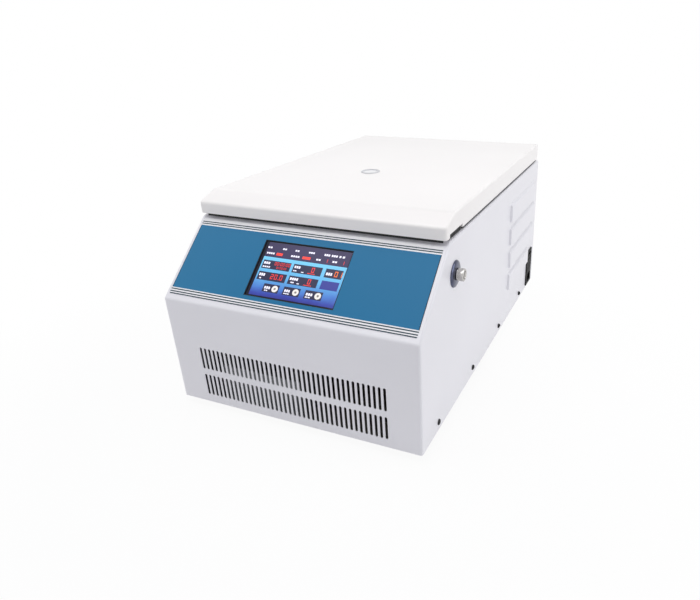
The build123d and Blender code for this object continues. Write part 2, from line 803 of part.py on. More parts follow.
# ---- lid ----------------------------------------------------------------------------------
def lid_form(inset):
    """Closed form of the lid, drawn in by `inset` on its sides and top."""
    nose_top = lid_bottom + lid_nose
    with BuildPart() as form:
        with BuildSketch(Plane.XY.offset(lid_bottom)):
            with Locations((0, lid_middle_y)):
                RectangleRounded(lid_width - 2 * inset, lid_length - 2 * inset,
                                 lid_corner - inset)
        extrude(amount=lid_height - inset)
        with BuildSketch(Plane.YZ.offset(-width)):
            with BuildLine():
                Polyline((lid_front - past, nose_top - inset),
                         (lid_front + inset, nose_top - inset),
                         (lid_front + lid_bevel, lid_top - inset),
                         (lid_front + lid_bevel, lid_top + past),
                         (lid_front - past, lid_top + past), close=True)
            make_face()
        extrude(amount=2 * width, mode=Mode.SUBTRACT)
        crown = [e for e in edges() if e.center().Z > nose_top - inset - past
                 and abs(e.tangent_at(0.5).Z) < 0.9 and not e.is_interior]
        fillet([e for e in crown if e.center().Y > lid_front + lid_bevel / 3
                or e.center().Z < lid_top - lid_height / 3], lid_edge - inset)
    return form.part


lid_z_liner = liner_z + liner_thickness
relief_y = hinge_y - hinge_inset      # the rear skirt is cut up from here back
window_bore = port_window_radius + slip
with BuildPart() as lid_shell:
    add(lid_form(0))
    add(lid_form(lid_wall), mode=Mode.SUBTRACT)
    # moulded ledge that the liner is fixed under, round the four sides
    with BuildSketch(Plane.XY.offset(lid_z_liner)):
        with Locations((0, (lid_front + relief_y) / 2)):
            Rectangle(lid_width - 2 * lid_wall, relief_y - lid_front - 2 * lid_wall)
            Rectangle(lid_width - 2 * lid_wall - 2 * side_return,
                      relief_y - lid_front - 2 * lid_wall - 2 * side_return, mode=Mode.SUBTRACT)
    extrude(amount=lid_wall)
    # ribs under the top
    for y in (lid_front + lid_bevel + side_return, lid_middle_y, relief_y - 2 * side_return):
        cut_box((side_return - lid_width / 2, y - lid_wall / 2, lid_z_liner + lid_wall),
                (lid_width / 2 - side_return, y + lid_wall / 2, lid_top - lid_wall), Mode.ADD)
    # sight port boss, from the top down to the liner
    with BuildSketch(Plane.XY.offset(lid_z_liner)):
        with Locations((port_x, port_y)):
            Circle(port_radius + lid_wall)
    extrude(amount=lid_top - lid_z_liner - lid_wall)
    with BuildSketch(Plane.XY.offset(lid_bottom)):
        with Locations((port_x, port_y)):
            Circle(window_bore)
    extrude(amount=lid_height, mode=Mode.SUBTRACT)
    # rear skirt cut up over the hinges, side skirts notched over the buffers
    cut_box((-inner_half, relief_y, lid_bottom - past),
            (inner_half, lid_rear + past, lid_bottom + rear_skirt_relief), Mode.SUBTRACT)
    for side in (-1, 1):
        low_x, high_x = sorted((side * (buffer_x - buffer_width), side * half_width))
        cut_box((low_x, buffer_start - notch_room, lid_bottom - past),
                (high_x, buffer_start + buffer_length + notch_room, lid_bottom + buffer_notch),
                Mode.SUBTRACT)
save(lid_shell, "lid_shell")

# liner: flat tray closing the lid from below
with BuildPart() as lid_liner:
    with BuildSketch(Plane.XY.offset(liner_z)):
        with Locations((0, (lid_front + relief_y) / 2)):
            Rectangle(lid_width - 2 * lid_wall - 2 * slip, relief_y - lid_front - 2 * lid_wall)
            chamfer(vertices().group_by(Axis.Y)[0], lid_corner - lid_wall)
        for side in (-1, 1):
            with Locations((side * buffer_x, buffer_start + buffer_length / 2)):
                Rectangle(buffer_width + 2 * buffer_room, buffer_length + 2 * notch_room,
                          mode=Mode.SUBTRACT)
        with Locations((port_x, port_y)):
            Circle(window_bore, mode=Mode.SUBTRACT)
        with Locations((0, lock_y)):
            Rectangle(striker_thickness + 2 * slip, striker_length + 2 * slip,
                      mode=Mode.SUBTRACT)
    extrude(amount=liner_thickness)
save(lid_liner, "lid_liner")

# gasket: rubber ring under the liner, over the bowl's rim
rim_z = deck_z + bowl_sheet
with BuildPart() as lid_gasket:
    with BuildSketch(Plane.XY.offset(rim_z + slip)):
        with Locations((0, rotor_y)):
            Circle(bowl_radius + gasket_width)
            Circle(bowl_radius, mode=Mode.SUBTRACT)
    extrude(amount=liner_z - rim_z - slip)
    chamfer(faces().sort_by(Axis.Z)[0].edges(), gasket_edge)
save(lid_gasket, "lid_gasket")

# sight window: clear plug through lid and liner, held by a ring on top
with BuildPart() as sight_window:
    with BuildSketch(Plane.XY.offset(liner_z)):
        with Locations((port_x, port_y)):
            Circle(port_window_radius)
    extrude(amount=lid_top - liner_z)
    chamfer(edges().group_by(Axis.Z)[-1], slip)
save(sight_window, "sight_window")

with BuildPart() as sight_ring:
    with BuildSketch(Plane.XY.offset(lid_top)):
        with Locations((port_x, port_y)):
            Circle(port_radius)
            Circle(port_window_radius - port_ring_lap, mode=Mode.SUBTRACT)
    extrude(amount=port_ring_height)
    fillet(edges().group_by(Axis.Z)[-1], port_ring_height / 2)
save(sight_ring, "sight_ring")

# striker: steel tongue with a window for the lock bolt
striker_window = 3 * bolt_radius
window_z = deck_z - striker_reach + striker_thickness + striker_window / 2
with BuildPart() as lid_striker:
    with BuildSketch(Plane.YZ.offset(-striker_thickness / 2)):
        with Locations((lock_y, (deck_z - striker_reach + lid_z_liner) / 2)):
            RectangleRounded(striker_length, lid_z_liner - deck_z + striker_reach,
                             striker_thickness)
        with Locations((lock_y, window_z)):
            RectangleRounded(striker_length - 2 * striker_thickness, striker_window,
                             striker_thickness / 3, mode=Mode.SUBTRACT)
    extrude(amount=striker_thickness)
    # foot welded across the tongue, screwed down on the liner
    with BuildSketch(Plane.XY.offset(lid_z_liner)):
        with Locations((0, lock_y)):
            RectangleRounded(2 * striker_length, striker_length, striker_thickness)
    extrude(amount=striker_thickness)
save(lid_striker, "lid_striker")

# buffers: rubber pads on the deck's edges, seen through the notches of the skirt
with BuildPart() as lid_buffers:
    for side in (-1, 1):
        with BuildSketch(Plane.XY.offset(deck_z)):
            with Locations((side * buffer_x, buffer_start + buffer_length / 2)):
                RectangleRounded(buffer_width, buffer_length, sheet)
        extrude(amount=lid_gap + buffer_notch - slip)
save(lid_buffers, "lid_buffers")

# ---- hinges -------------------------------------------------------------------------------
knuckle_length = hinge_length / hinge_knuckles


def hinge_leaves(turning):
    """Leaves of both hinges: fixed ones on the deck, or turning ones under the liner."""
    rows = range(1 if turning else 0, hinge_knuckles, 2)
    sign = 1 if turning else -1
    leaf_z = liner_z - hinge_leaf if turning else deck_z
    leaf_end = hinge_y - knuckle_radius - 2 * sheet
    with BuildPart() as leaves:
        for side in (-1, 1):
            middle = side * hinge_spacing / 2
            with BuildSketch(Plane.XY.offset(leaf_z)):
                with Locations((middle, leaf_end - hinge_leaf_length / 2)):
                    Rectangle(hinge_length, hinge_leaf_length)
            extrude(amount=hinge_leaf)
            for row in rows:
                start = middle - hinge_length / 2 + row * knuckle_length + slip
                end = start + knuckle_length - 2 * slip
                with BuildSketch(Plane.YZ.offset(start)):
                    with Locations((hinge_y, hinge_z)):
                        Circle(knuckle_radius)
                    with Locations((hinge_y - hinge_leaf_length / 4, leaf_z + hinge_leaf / 2)):
                        Rectangle(hinge_leaf_length / 2, hinge_leaf)
                    if not turning:
                        with Locations((hinge_y, (hinge_z + deck_z) / 2)):
                            Rectangle(knuckle_radius, hinge_z - deck_z)
                    with Locations((hinge_y, hinge_z)):
                        Circle(hinge_pin_radius + running_fit, mode=Mode.SUBTRACT)
                extrude(amount=end - start)
    return leaves


save(hinge_leaves(False), "deck_hinge_leaves")
save(hinge_leaves(True), "lid_hinge_leaves")

with BuildPart() as hinge_pins:
    for side in (-1, 1):
        with BuildSketch(Plane.YZ.offset(side * hinge_spacing / 2 - hinge_length / 2)):
            with Locations((hinge_y, hinge_z)):
                Circle(hinge_pin_radius)
        extrude(amount=hinge_length)
save(hinge_pins, "hinge_pins")

# ---- bowl and its cooling -----------------------------------------------------------------
spin_axis = Axis((0, rotor_y, 0), (0, 0, 1))
bowl_outer = bowl_radius + bowl_sheet
with BuildPart() as bowl:
    with BuildSketch(Plane.XZ.offset(-rotor_y)):
        with BuildLine():
            Polyline((bowl_hole, bowl_floor), (bowl_radius, bowl_floor), (bowl_radius, rim_z),
                     (bowl_outer + bowl_rim, rim_z), (bowl_outer + bowl_rim, deck_z),
                     (bowl_outer, deck_z), (bowl_outer, bowl_floor - bowl_sheet),
                     (bowl_hole, bowl_floor - bowl_sheet), close=True)
        make_face()
        fillet(vertices().sort_by_distance((bowl_radius, bowl_floor))[0], bowl_corner)
        fillet(vertices().sort_by_distance((bowl_outer, bowl_floor - bowl_sheet))[0],
               bowl_corner + bowl_sheet)
    revolve(axis=spin_axis)
save(bowl, "bowl")

# evaporator: turns of copper tube round the bowl wall
coil_radius = bowl_outer + coil_tube + slip
coil_low = bowl_floor + bowl_corner + coil_tube
with BuildPart() as evaporator_coil:
    for turn in range(coil_turns):
        with BuildSketch(Plane.XZ.offset(-rotor_y)):
            with Locations((coil_radius, coil_low + turn * coil_pitch)):
                RegularPolygon(coil_tube, 8)
        revolve(axis=spin_axis)
    # header that joins the turns on the cool side
    with BuildSketch(Plane.XY.offset(coil_low)):
        with Locations((0, rotor_y + coil_radius)):
            Circle(coil_tube / 2)
    extrude(amount=(coil_turns - 1) * coil_pitch)
save(evaporator_coil, "evaporator_coil")

# foam jacket under and round the bowl
foam_inner = coil_radius + coil_tube + slip
foam_top = deck_z - sheet
foam_base = bowl_floor - bowl_sheet
with BuildPart() as bowl_insulation:
    with BuildSketch(Plane.XZ.offset(-rotor_y)):
        with BuildLine():
            Polyline((bowl_hole + 2 * sheet, foam_base - foam_floor),
                     (foam_inner + foam_thickness, foam_base - foam_floor),
                     (foam_inner + foam_thickness, foam_top), (foam_inner, foam_top),
                     (foam_inner, foam_base), (bowl_hole + 2 * sheet, foam_base), close=True)
        make_face()
    revolve(axis=spin_axis)
    # pocket at the front for the lid lock and its bolt
    cut_box((-lock_width / 2 - bolt_travel - bolt_tail - 3 * slip, 0,
             foam_top - lock_height - slip),
            (lock_width / 2 + slip, lock_y + lock_depth / 2 + slip, foam_top + past),
            Mode.SUBTRACT)
save(bowl_insulation, "bowl_insulation")

# rubber boot sealing the bowl floor down to the motor
boot_outer = bowl_hole - slip
boot_inner = boot_outer - boot_wall
with BuildPart() as spindle_boot:
    with BuildSketch(Plane.XZ.offset(-rotor_y)):
        with BuildLine():
            Polyline((boot_inner, motor_top), (boot_outer, motor_top), (boot_outer, bowl_floor),
                     (boot_outer + boot_wall, bowl_floor),
                     (boot_outer + boot_wall - boot_edge, bowl_floor + boot_lip),
                     (boot_inner, bowl_floor + boot_lip), close=True)
        make_face()
    revolve(axis=spin_axis)
save(spindle_boot, "spindle_boot")

# ---- motor --------------------------------------------------------------------------------
flange_z = plate_z + motor_plate_thickness
with BuildPart() as motor:
    with BuildSketch(Plane.XZ.offset(-rotor_y)):
        with BuildLine():
            Polyline((spindle_radius + shaft_room, motor_bottom), (motor_cap_radius, motor_bottom),
                     (motor_radius, motor_bottom + motor_shoulder), (motor_radius, flange_z),
                     (motor_flange_radius, flange_z),
                     (motor_flange_radius, flange_z + motor_flange_height),
                     (motor_radius, flange_z + motor_flange_height),
                     (motor_radius, motor_top - motor_shoulder),
                     (motor_cap_radius, motor_top),
                     (bearing_radius + running_fit, motor_top),
                     (bearing_radius + running_fit, motor_top - bearing_height),
                     (spindle_radius + shaft_room, motor_top - bearing_height), close=True)
        make_face()
    revolve(axis=spin_axis)
    with BuildSketch(Plane.XY.offset(motor_bottom)):
        with Locations((0, rotor_y)):
            Circle(bearing_radius + running_fit)
    extrude(amount=bearing_height, mode=Mode.SUBTRACT)
    # cooling fins down the can
    with BuildSketch(Plane.XY.offset(flange_z + motor_flange_height)):
        with Locations((0, rotor_y)):
            with PolarLocations(motor_radius, motor_fins):
                Rectangle(2 * motor_fin_height, motor_fin_thickness)
    extrude(amount=motor_top - motor_shoulder - flange_z - motor_flange_height)
save(motor, "motor")

with BuildPart() as spindle_bearings:
    for low in (motor_bottom, motor_top - bearing_height):
        with BuildSketch(Plane.XY.offset(low)):
            with Locations((0, rotor_y)):
                Circle(bearing_radius)
                Circle(spindle_radius + running_fit, mode=Mode.SUBTRACT)
        extrude(amount=bearing_height)
save(spindle_bearings, "spindle_bearings")

mount_spacing = motor_plate_size - 2 * mount_inset
with BuildPart() as motor_plate:
    with BuildSketch(Plane.XY.offset(plate_z)):
        with Locations((0, rotor_y)):
            RectangleRounded(motor_plate_size, motor_plate_size, mount_inset)
            Circle(motor_radius + slip, mode=Mode.SUBTRACT)
            with GridLocations(mount_spacing, mount_spacing, 2, 2):
                Circle(screw_shank_radius + bolt_room, mode=Mode.SUBTRACT)
    extrude(amount=motor_plate_thickness)
save(motor_plate, "motor_plate")

# rubber shock mounts between tray and plate, waisted, with a stud through the plate
mount_stud = mount_height + motor_plate_thickness + nut_height
with BuildPart() as shock_mount:
    with BuildSketch(Plane.XZ):
        with BuildLine():
            Line((0, 0), (mount_radius, 0))
            ThreePointArc((mount_radius, 0), (mount_waist, mount_height / 2),
                          (mount_radius, mount_height))
            Polyline((mount_radius, mount_height), (screw_shank_radius, mount_height),
                     (screw_shank_radius, mount_stud), (0, mount_stud), (0, 0))
        make_face()
    revolve(axis=Axis.Z)

with BuildPart() as shock_mounts:
    with Locations((0, rotor_y, tray_top)):
        with GridLocations(mount_spacing, mount_spacing, 2, 2):
            add(shock_mount.part)
save(shock_mounts, "shock_mounts")

# ---- rotor --------------------------------------------------------------------------------
spindle_nose = carrier_z + hub_height / 2
with BuildPart() as spindle:
    with BuildSketch(Plane.XZ.offset(-rotor_y)):
        with BuildLine():
            Polyline((0, motor_bottom + spindle_foot),
                     (spindle_radius, motor_bottom + spindle_foot),
                     (spindle_radius, carrier_z), (0.75 * spindle_radius, spindle_nose),
                     (0, spindle_nose), close=True)
        make_face()
    revolve(axis=spin_axis)
save(spindle, "spindle")


def station_plane(index, radius, height, lean=0.0):
    """Plane of one station: local X outward, local Y up, leaning out at its head by `lean`."""
    turn = radians(360.0 * index / stations)
    out = Vector(cos(turn), sin(turn), 0)
    up = Vector(0, 0, 1)
    tip = radians(lean)
    return Plane(origin=Vector(0, rotor_y, height) + out * radius,
                 x_dir=out * cos(tip) - up * sin(tip), z_dir=out.cross(up))


# carrier: hub, dish and rim in one casting, with a pair of bored ears for each holder
ear_inside = clip_width / 2 + 2 * slip
ear_half = ear_inside + ear_thickness
trunnion_reach = ear_half + slip
with BuildPart() as rotor_carrier:
    with BuildSketch(Plane.XZ.offset(-rotor_y)):
        with BuildLine():
            Polyline((spindle_radius + running_fit, carrier_z - carrier_wall),
                     (carrier_radius - carrier_rim / 3, carrier_z - carrier_wall),
                     (carrier_radius, carrier_z + carrier_rim / 3), (carrier_radius, cover_z),
                     (carrier_radius - carrier_wall, cover_z),
                     (carrier_radius - carrier_wall, carrier_z + carrier_rim / 2),
                     (carrier_radius - carrier_rim / 2 - carrier_wall, carrier_z),
                     (hub_radius + hub_flare / 2, carrier_z), (hub_radius, carrier_z + hub_flare),
                     (0.8 * hub_radius, hub_top), (0, hub_top), (0, spindle_nose + slip),
                     (0.75 * spindle_radius + running_fit, spindle_nose + slip),
                     (spindle_radius + running_fit, carrier_z), close=True)
        make_face()
    revolve(axis=spin_axis)
    with BuildSketch(Plane.XY.offset(hub_top)):
        with Locations((0, rotor_y)):
            Circle(cover_stud_radius + running_fit)
    extrude(amount=-cover_stud_seat - slip, mode=Mode.SUBTRACT)
    for index in range(stations):
        foot_plane = station_plane(index, pivot_radius, carrier_z)
        for start in (ear_inside, -ear_half):
            with BuildSketch(foot_plane.offset(start)):
                with BuildLine():
                    Polyline((-ear_foot, -carrier_wall / 2), (ear_foot, -carrier_wall / 2),
                             (ear_head, pivot_rise), (-ear_head, pivot_rise), close=True)
                make_face()
                with Locations((0, pivot_rise)):
                    Circle(ear_head)
                    Circle(trunnion_radius + running_fit, mode=Mode.SUBTRACT)
            extrude(amount=ear_thickness)
save(rotor_carrier, "rotor_carrier")

# clear cover: deep dome standing on the carrier's rim, bored for the stud
with BuildPart() as rotor_cover:
    with BuildSketch(Plane.XZ.offset(-rotor_y)):
        with BuildLine():
            Polyline((cover_stud_radius + slip, cover_top), (cover_crown_radius, cover_top),
                     (cover_shoulder_radius, cover_top - cover_shoulder_drop),
                     (carrier_radius, cover_top - cover_skirt_drop), (carrier_radius, cover_z),
                     (carrier_radius - cover_wall, cover_z),
                     (carrier_radius - cover_wall, cover_top - cover_skirt_drop - slip),
                     (cover_shoulder_radius - cover_wall,
                      cover_top - cover_shoulder_drop - cover_wall),
                     (cover_crown_radius, cover_top - cover_wall),
                     (cover_stud_radius + slip, cover_top - cover_wall), close=True)
        make_face()
    revolve(axis=spin_axis)
save(rotor_cover, "rotor_cover")

# stud: screwed into the hub and standing up through the cover into the knob
with BuildPart() as cover_stud:
    with BuildSketch(Plane.XY.offset(hub_top - cover_stud_seat)):
        with Locations((0, rotor_y)):
            Circle(cover_stud_radius)
    extrude(amount=cover_top + cover_stud_head - hub_top + cover_stud_seat)
    chamfer(edges().group_by(Axis.Z)[-1], cover_knob_edge)
save(cover_stud, "cover_stud")

# cover knob: lobed grip with a blind bore that screws down on the stud
grip_z = cover_top + slip
with BuildPart() as cover_knob:
    with BuildSketch(Plane.XY.offset(grip_z)):
        with Locations((0, rotor_y)):
            Circle(cover_knob_radius)
            with PolarLocations(cover_knob_radius + cover_knob_scallop / 2, cover_knob_lobes):
                Circle(cover_knob_scallop, mode=Mode.SUBTRACT)
    extrude(amount=cover_knob_height)
    chamfer(edges().group_by(Axis.Z)[-1], cover_knob_edge)
    with BuildSketch(Plane.XY.offset(grip_z)):
        with Locations((0, rotor_y)):
            Circle(cover_stud_radius + running_fit)
    extrude(amount=cover_stud_head, mode=Mode.SUBTRACT)
save(cover_knob, "cover_knob")


def holder_plane(index):
    """Plane through a holder's trunnion axis, leaning as the holder does at rest."""
    return station_plane(index, pivot_radius, pivot_z, rest_lean)


# steel holder: back plate with a lower lip, two side arms and their trunnions
clip_half = clip_width / 2
with BuildPart() as clip:
    with BuildSketch(Plane.XY.offset(-clip_half)):
        with BuildLine():
            Polyline((clip_face, clip_head), (clip_face + clip_sheet, clip_head),
                     (clip_face + clip_sheet, -clip_drop), (clip_face - clip_lip, -clip_drop),
                     (clip_face - clip_lip, clip_sheet - clip_drop),
                     (clip_face, clip_sheet - clip_drop), close=True)
        make_face()
    extrude(amount=clip_width)
    for start in (-clip_half, clip_half - clip_sheet):
        with BuildSketch(Plane.XY.offset(start)):
            Circle(2 * trunnion_radius)
            with BuildLine():
                Polyline((0, 2 * trunnion_radius), (0, -2 * trunnion_radius),
                         (clip_face, -clip_drop / 3), (clip_face, clip_head / 2), close=True)
            make_face()
        extrude(amount=clip_sheet)
    for start, reach in ((clip_half, trunnion_reach - clip_half),
                         (-clip_half, clip_half - trunnion_reach)):
        with BuildSketch(Plane.XY.offset(start)):
            Circle(trunnion_radius)
        extrude(amount=reach)

# white funnel: slide plate with its filter pad, sample port tube and open well
chamber_face = clip_face - slip
plate_head = clip_head - clip_sheet
plate_foot = clip_sheet + slip - clip_drop
with BuildPart() as chamber:
    with BuildSketch(Plane.XY.offset(-chamber_width / 2)):
        with Locations((chamber_face - chamber_plate / 2, (plate_head + plate_foot) / 2)):
            Rectangle(chamber_plate, plate_head - plate_foot)
    extrude(amount=chamber_width)
    with BuildSketch(Plane.YZ):
        with Locations((-port_drop, 0)):
            Circle(port_tube_radius)
    extrude(amount=chamber_face)
    with BuildSketch():
        with BuildLine():
            Polyline((0, -well_drop), (port_tube_radius, -well_drop),
                     (well_radius, well_shoulder - well_drop), (well_radius, well_head),
                     (0, well_head),
                     close=True)
        make_face()
    revolve(axis=Axis.Y)
    with BuildSketch():
        with BuildLine():
            Polyline((0, well_wall - well_drop), (duct_radius, well_wall - well_drop),
                     (duct_radius, -duct_head), (well_radius - well_wall, -well_taper),
                     (well_radius - well_wall, well_head + past), (0, well_head + past),
                     close=True)
        make_face()
    revolve(axis=Axis.Y, mode=Mode.SUBTRACT)
    with BuildSketch(Plane.YZ):
        with Locations((-port_drop, 0)):
            Circle(port_bore_radius)
    extrude(amount=chamber_face, mode=Mode.SUBTRACT)

for index in range(stations):
    for piece, name in ((clip, "slide_clip"), (chamber, "sample_chamber")):
        with BuildPart() as placed:
            with Locations(holder_plane(index)):
                add(piece.part)
        save(placed, f"{name}_{index + 1}")

# ---- lid lock -----------------------------------------------------------------------------
lock_top = deck_z - sheet
cavity_floor = deck_z - striker_reach - lock_floor_room
with BuildPart() as lock_housing:
    with BuildSketch(Plane.XY.offset(lock_top)):
        with Locations((0, lock_y)):
            RectangleRounded(lock_width, lock_depth, lock_corner)
    extrude(amount=-lock_height)
    with BuildSketch(Plane.XY.offset(lock_top)):
        with Locations((0, lock_y)):
            Rectangle(striker_slot_x, striker_slot_y)
    extrude(amount=cavity_floor - lock_top, mode=Mode.SUBTRACT)
    with BuildSketch(Plane.YZ.offset(-lock_width / 2)):
        with Locations((lock_y, window_z)):
            Circle(bolt_radius + running_fit)
    extrude(amount=lock_width / 2 + striker_slot_x / 2 + bolt_travel, mode=Mode.SUBTRACT)
save(lock_housing, "lock_housing")

# lock bolt: round bolt with a collar, drawn clear of the striker when the lid is free
bolt_tip = -striker_thickness / 2 - striker_room + slip
bolt_stop = -lock_width / 2 - bolt_travel - slip
with BuildPart() as lock_bolt:
    with BuildSketch(Plane.YZ.offset(bolt_tip)):
        with Locations((lock_y, window_z)):
            Circle(bolt_radius)
    extrude(amount=bolt_stop - bolt_tip - bolt_tail)
    chamfer(faces().sort_by(Axis.X)[-1].edges(), bolt_edge)
    with BuildSketch(Plane.YZ.offset(bolt_stop)):
        with Locations((lock_y, window_z)):
            Circle(bolt_collar_radius)
    extrude(amount=-sheet * 2)
save(lock_bolt, "lock_bolt")

# ---- refrigeration ------------------------------------------------------------------------
can_base = tray_top + compressor_foot_height
foot_spacing = compressor_base - 3 * compressor_foot_radius
with BuildPart() as compressor:
    with BuildSketch(Plane.XY.offset(can_base)):
        with Locations((compressor_x, compressor_y)):
            Circle(compressor_radius)
    extrude(amount=compressor_height)
    fillet(edges().group_by(Axis.Z)[-1], compressor_crown)
    # weld seam round the can
    with BuildSketch(Plane.XY.offset(can_base + compressor_height / 2)):
        with Locations((compressor_x, compressor_y)):
            Circle(compressor_radius + sheet)
    extrude(amount=2 * sheet)
    # base plate on four feet
    with BuildSketch(Plane.XY.offset(can_base - 2 * sheet)):
        with Locations((compressor_x, compressor_y)):
            RectangleRounded(compressor_base, compressor_base, compressor_foot_radius)
    extrude(amount=2 * sheet)
    with BuildSketch(Plane.XY.offset(tray_top)):
        with Locations((compressor_x, compressor_y)):
            with GridLocations(foot_spacing, foot_spacing, 2, 2):
                Circle(compressor_foot_radius)
    extrude(amount=can_base - tray_top)
save(compressor, "compressor")

# condenser: finned core between two side plates that stand on the tray
core_rear = depth - sheet - condenser_gap
core_front = core_rear - condenser_depth
core_z = tray_top + condenser_level
fin_pitch = (condenser_width - 2 * sheet) / fin_count
with BuildPart() as condenser:
    with BuildSketch(Plane.XZ.offset(-core_front)):
        with Locations((condenser_x, core_z + condenser_height / 2)):
            Rectangle(condenser_width - 2 * sheet, condenser_height - 2 * fin_overhang)
    extrude(amount=-condenser_depth / 2)
    with BuildSketch(Plane.XZ.offset(-core_front)):
        with Locations((condenser_x, core_z + condenser_height / 2)):
            with GridLocations(fin_pitch, 1, fin_count, 1):
                Rectangle(sheet, condenser_height)
    extrude(amount=-condenser_depth)
    for side in (-1, 1):
        plate_x = condenser_x + side * (condenser_width / 2 - sheet / 2)
        cut_box((plate_x - sheet / 2, core_front, tray_top),
                (plate_x + sheet / 2, core_rear, core_z + condenser_height), Mode.ADD)
save(condenser, "condenser")

# fan: square frame on the condenser's face, four struts to the motor's seat
fan_z = core_z + condenser_height / 2
fan_front = core_front - fan_depth
fan_plane = Plane(origin=(condenser_x, core_front, fan_z), x_dir=(1, 0, 0), z_dir=(0, -1, 0))
with BuildPart() as fan_frame:
    with BuildSketch(fan_plane):
        RectangleRounded(fan_size, fan_size, fan_corner)
        Circle(fan_duct_radius, mode=Mode.SUBTRACT)
    extrude(amount=fan_depth)
    with BuildSketch(fan_plane):
        Circle(fan_hub_radius)
        with PolarLocations(0, fan_struts, start_angle=180 / fan_struts):
            with Locations((fan_duct_radius / 2, 0)):
                Rectangle(fan_duct_radius + past, strut_width)
        Circle(fan_shaft_radius + running_fit, mode=Mode.SUBTRACT)
    extrude(amount=fan_seat)
save(fan_frame, "fan_frame")

# impeller: hub cap and pitched blades on a short shaft
blade_start = fan_hub_radius - blade_root
blade_length = fan_duct_radius - blade_room - blade_start
with BuildPart() as fan_impeller:
    with BuildSketch(fan_plane.offset(fan_seat + slip)):
        Circle(fan_hub_radius)
    extrude(amount=fan_depth - fan_seat - fan_recess)
    for index in range(fan_blades):
        turn = radians(360.0 * index / fan_blades)
        out = fan_plane.x_dir * cos(turn) + fan_plane.y_dir * sin(turn)
        middle = fan_plane.origin + fan_plane.z_dir * (fan_seat + (fan_depth - fan_seat) / 2)
        root = Plane(origin=middle + out * blade_start, z_dir=out,
                     x_dir=fan_plane.z_dir.rotate(Axis((0, 0, 0), out), blade_pitch))
        with BuildSketch(root):
            Rectangle(blade_root_chord, blade_thickness)
        with BuildSketch(root.offset(blade_length)):
            Rectangle(blade_tip_chord, blade_thickness)
        loft()
    with BuildSketch(fan_plane.offset(slip)):
        Circle(fan_shaft_radius)
    extrude(amount=fan_seat + sheet)
save(fan_impeller, "fan_impeller")
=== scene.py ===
"""Bench cytocentrifuge: sloped touch console, hinged lid with a sight port, steel bowl,
six-place slide rotor, louvred side panels and a slotted front grille."""
import json
import math

import bmesh
import bpy
from mathutils import Matrix, Vector

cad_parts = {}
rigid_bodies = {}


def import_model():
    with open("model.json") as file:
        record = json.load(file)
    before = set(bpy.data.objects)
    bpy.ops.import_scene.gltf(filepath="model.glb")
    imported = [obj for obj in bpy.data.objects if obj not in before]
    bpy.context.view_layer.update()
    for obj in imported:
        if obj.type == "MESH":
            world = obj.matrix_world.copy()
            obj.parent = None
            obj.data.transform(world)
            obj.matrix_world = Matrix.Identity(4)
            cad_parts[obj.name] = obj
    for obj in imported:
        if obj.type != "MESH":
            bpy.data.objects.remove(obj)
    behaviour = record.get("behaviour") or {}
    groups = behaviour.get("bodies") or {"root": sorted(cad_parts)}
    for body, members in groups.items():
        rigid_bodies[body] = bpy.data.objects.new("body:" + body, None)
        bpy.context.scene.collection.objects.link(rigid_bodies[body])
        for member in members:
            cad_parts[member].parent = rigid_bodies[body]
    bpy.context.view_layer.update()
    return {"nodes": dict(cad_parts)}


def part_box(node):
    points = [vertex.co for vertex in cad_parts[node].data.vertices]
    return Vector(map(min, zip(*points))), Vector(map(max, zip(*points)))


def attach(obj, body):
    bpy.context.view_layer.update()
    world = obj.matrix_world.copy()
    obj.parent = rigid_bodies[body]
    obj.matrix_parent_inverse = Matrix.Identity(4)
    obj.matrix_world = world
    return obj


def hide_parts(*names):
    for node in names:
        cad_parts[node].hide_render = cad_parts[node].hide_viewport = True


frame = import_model()
nodes = frame["nodes"]

# ---- Camera and studio ----
# A pale bench top under a white surround, with broad soft lamps above, to the right and at the
# front left.  The camera stands in front of the right corner and looks down on the console.
scene = bpy.context.scene
scene_objects = scene.collection.objects
camera_data = bpy.data.cameras.new("bench_camera")
camera_data.sensor_width = 36.0
camera_data.lens = 29.75
camera_data.shift_x = -0.101345
camera_data.shift_y = -0.006024
camera_data.clip_end = 60.0
camera = bpy.data.objects.new("bench_camera", camera_data)
scene_objects.link(camera)
camera_place = (0.469577, -0.595952, 0.563539)
camera_right, camera_up = (0.92431, 0.38118, -0.01887), (-0.14402, 0.39417, 0.90768)
camera_back = (0.35343, -0.83626, 0.41923)
turn = Matrix((camera_right, camera_up, camera_back)).transposed()
camera.matrix_world = Matrix.Translation(camera_place) @ turn.to_4x4()
scene.camera = camera
scene.view_settings.view_transform = "Standard"


def feed(node, feeds):
    """Fill a node's inputs: values are set, sockets and the first outputs of nodes linked."""
    for label, given in feeds.items():
        for one in given if isinstance(given, list) else [given]:
            if isinstance(one, bpy.types.Node):
                one = one.outputs[0]
            if isinstance(one, bpy.types.NodeSocket):
                node.id_data.links.new(one, node.inputs[label])
            else:
                node.inputs[label].default_value = one


def put(tree, kind, feeds=None, **settings):
    """New node in a tree, with its settings and what feeds its inputs."""
    node = tree.nodes.new(kind)
    for label, value in settings.items():
        setattr(node, label, value)
    feed(node, feeds or {})
    return node


def maths(tree, operation, *numbers):
    """Node for a sum on numbers."""
    return put(tree, "ShaderNodeMath", dict(enumerate(numbers)), operation=operation)


def background_ray(tree):
    """One for the rays that show the background as it is, zero for those that light things."""
    rays = put(tree, "ShaderNodeLightPath").outputs
    direct = maths(tree, "MAXIMUM", rays["Is Camera Ray"], rays["Is Transmission Ray"])
    return maths(tree, "MAXIMUM", direct, rays["Is Glossy Ray"])


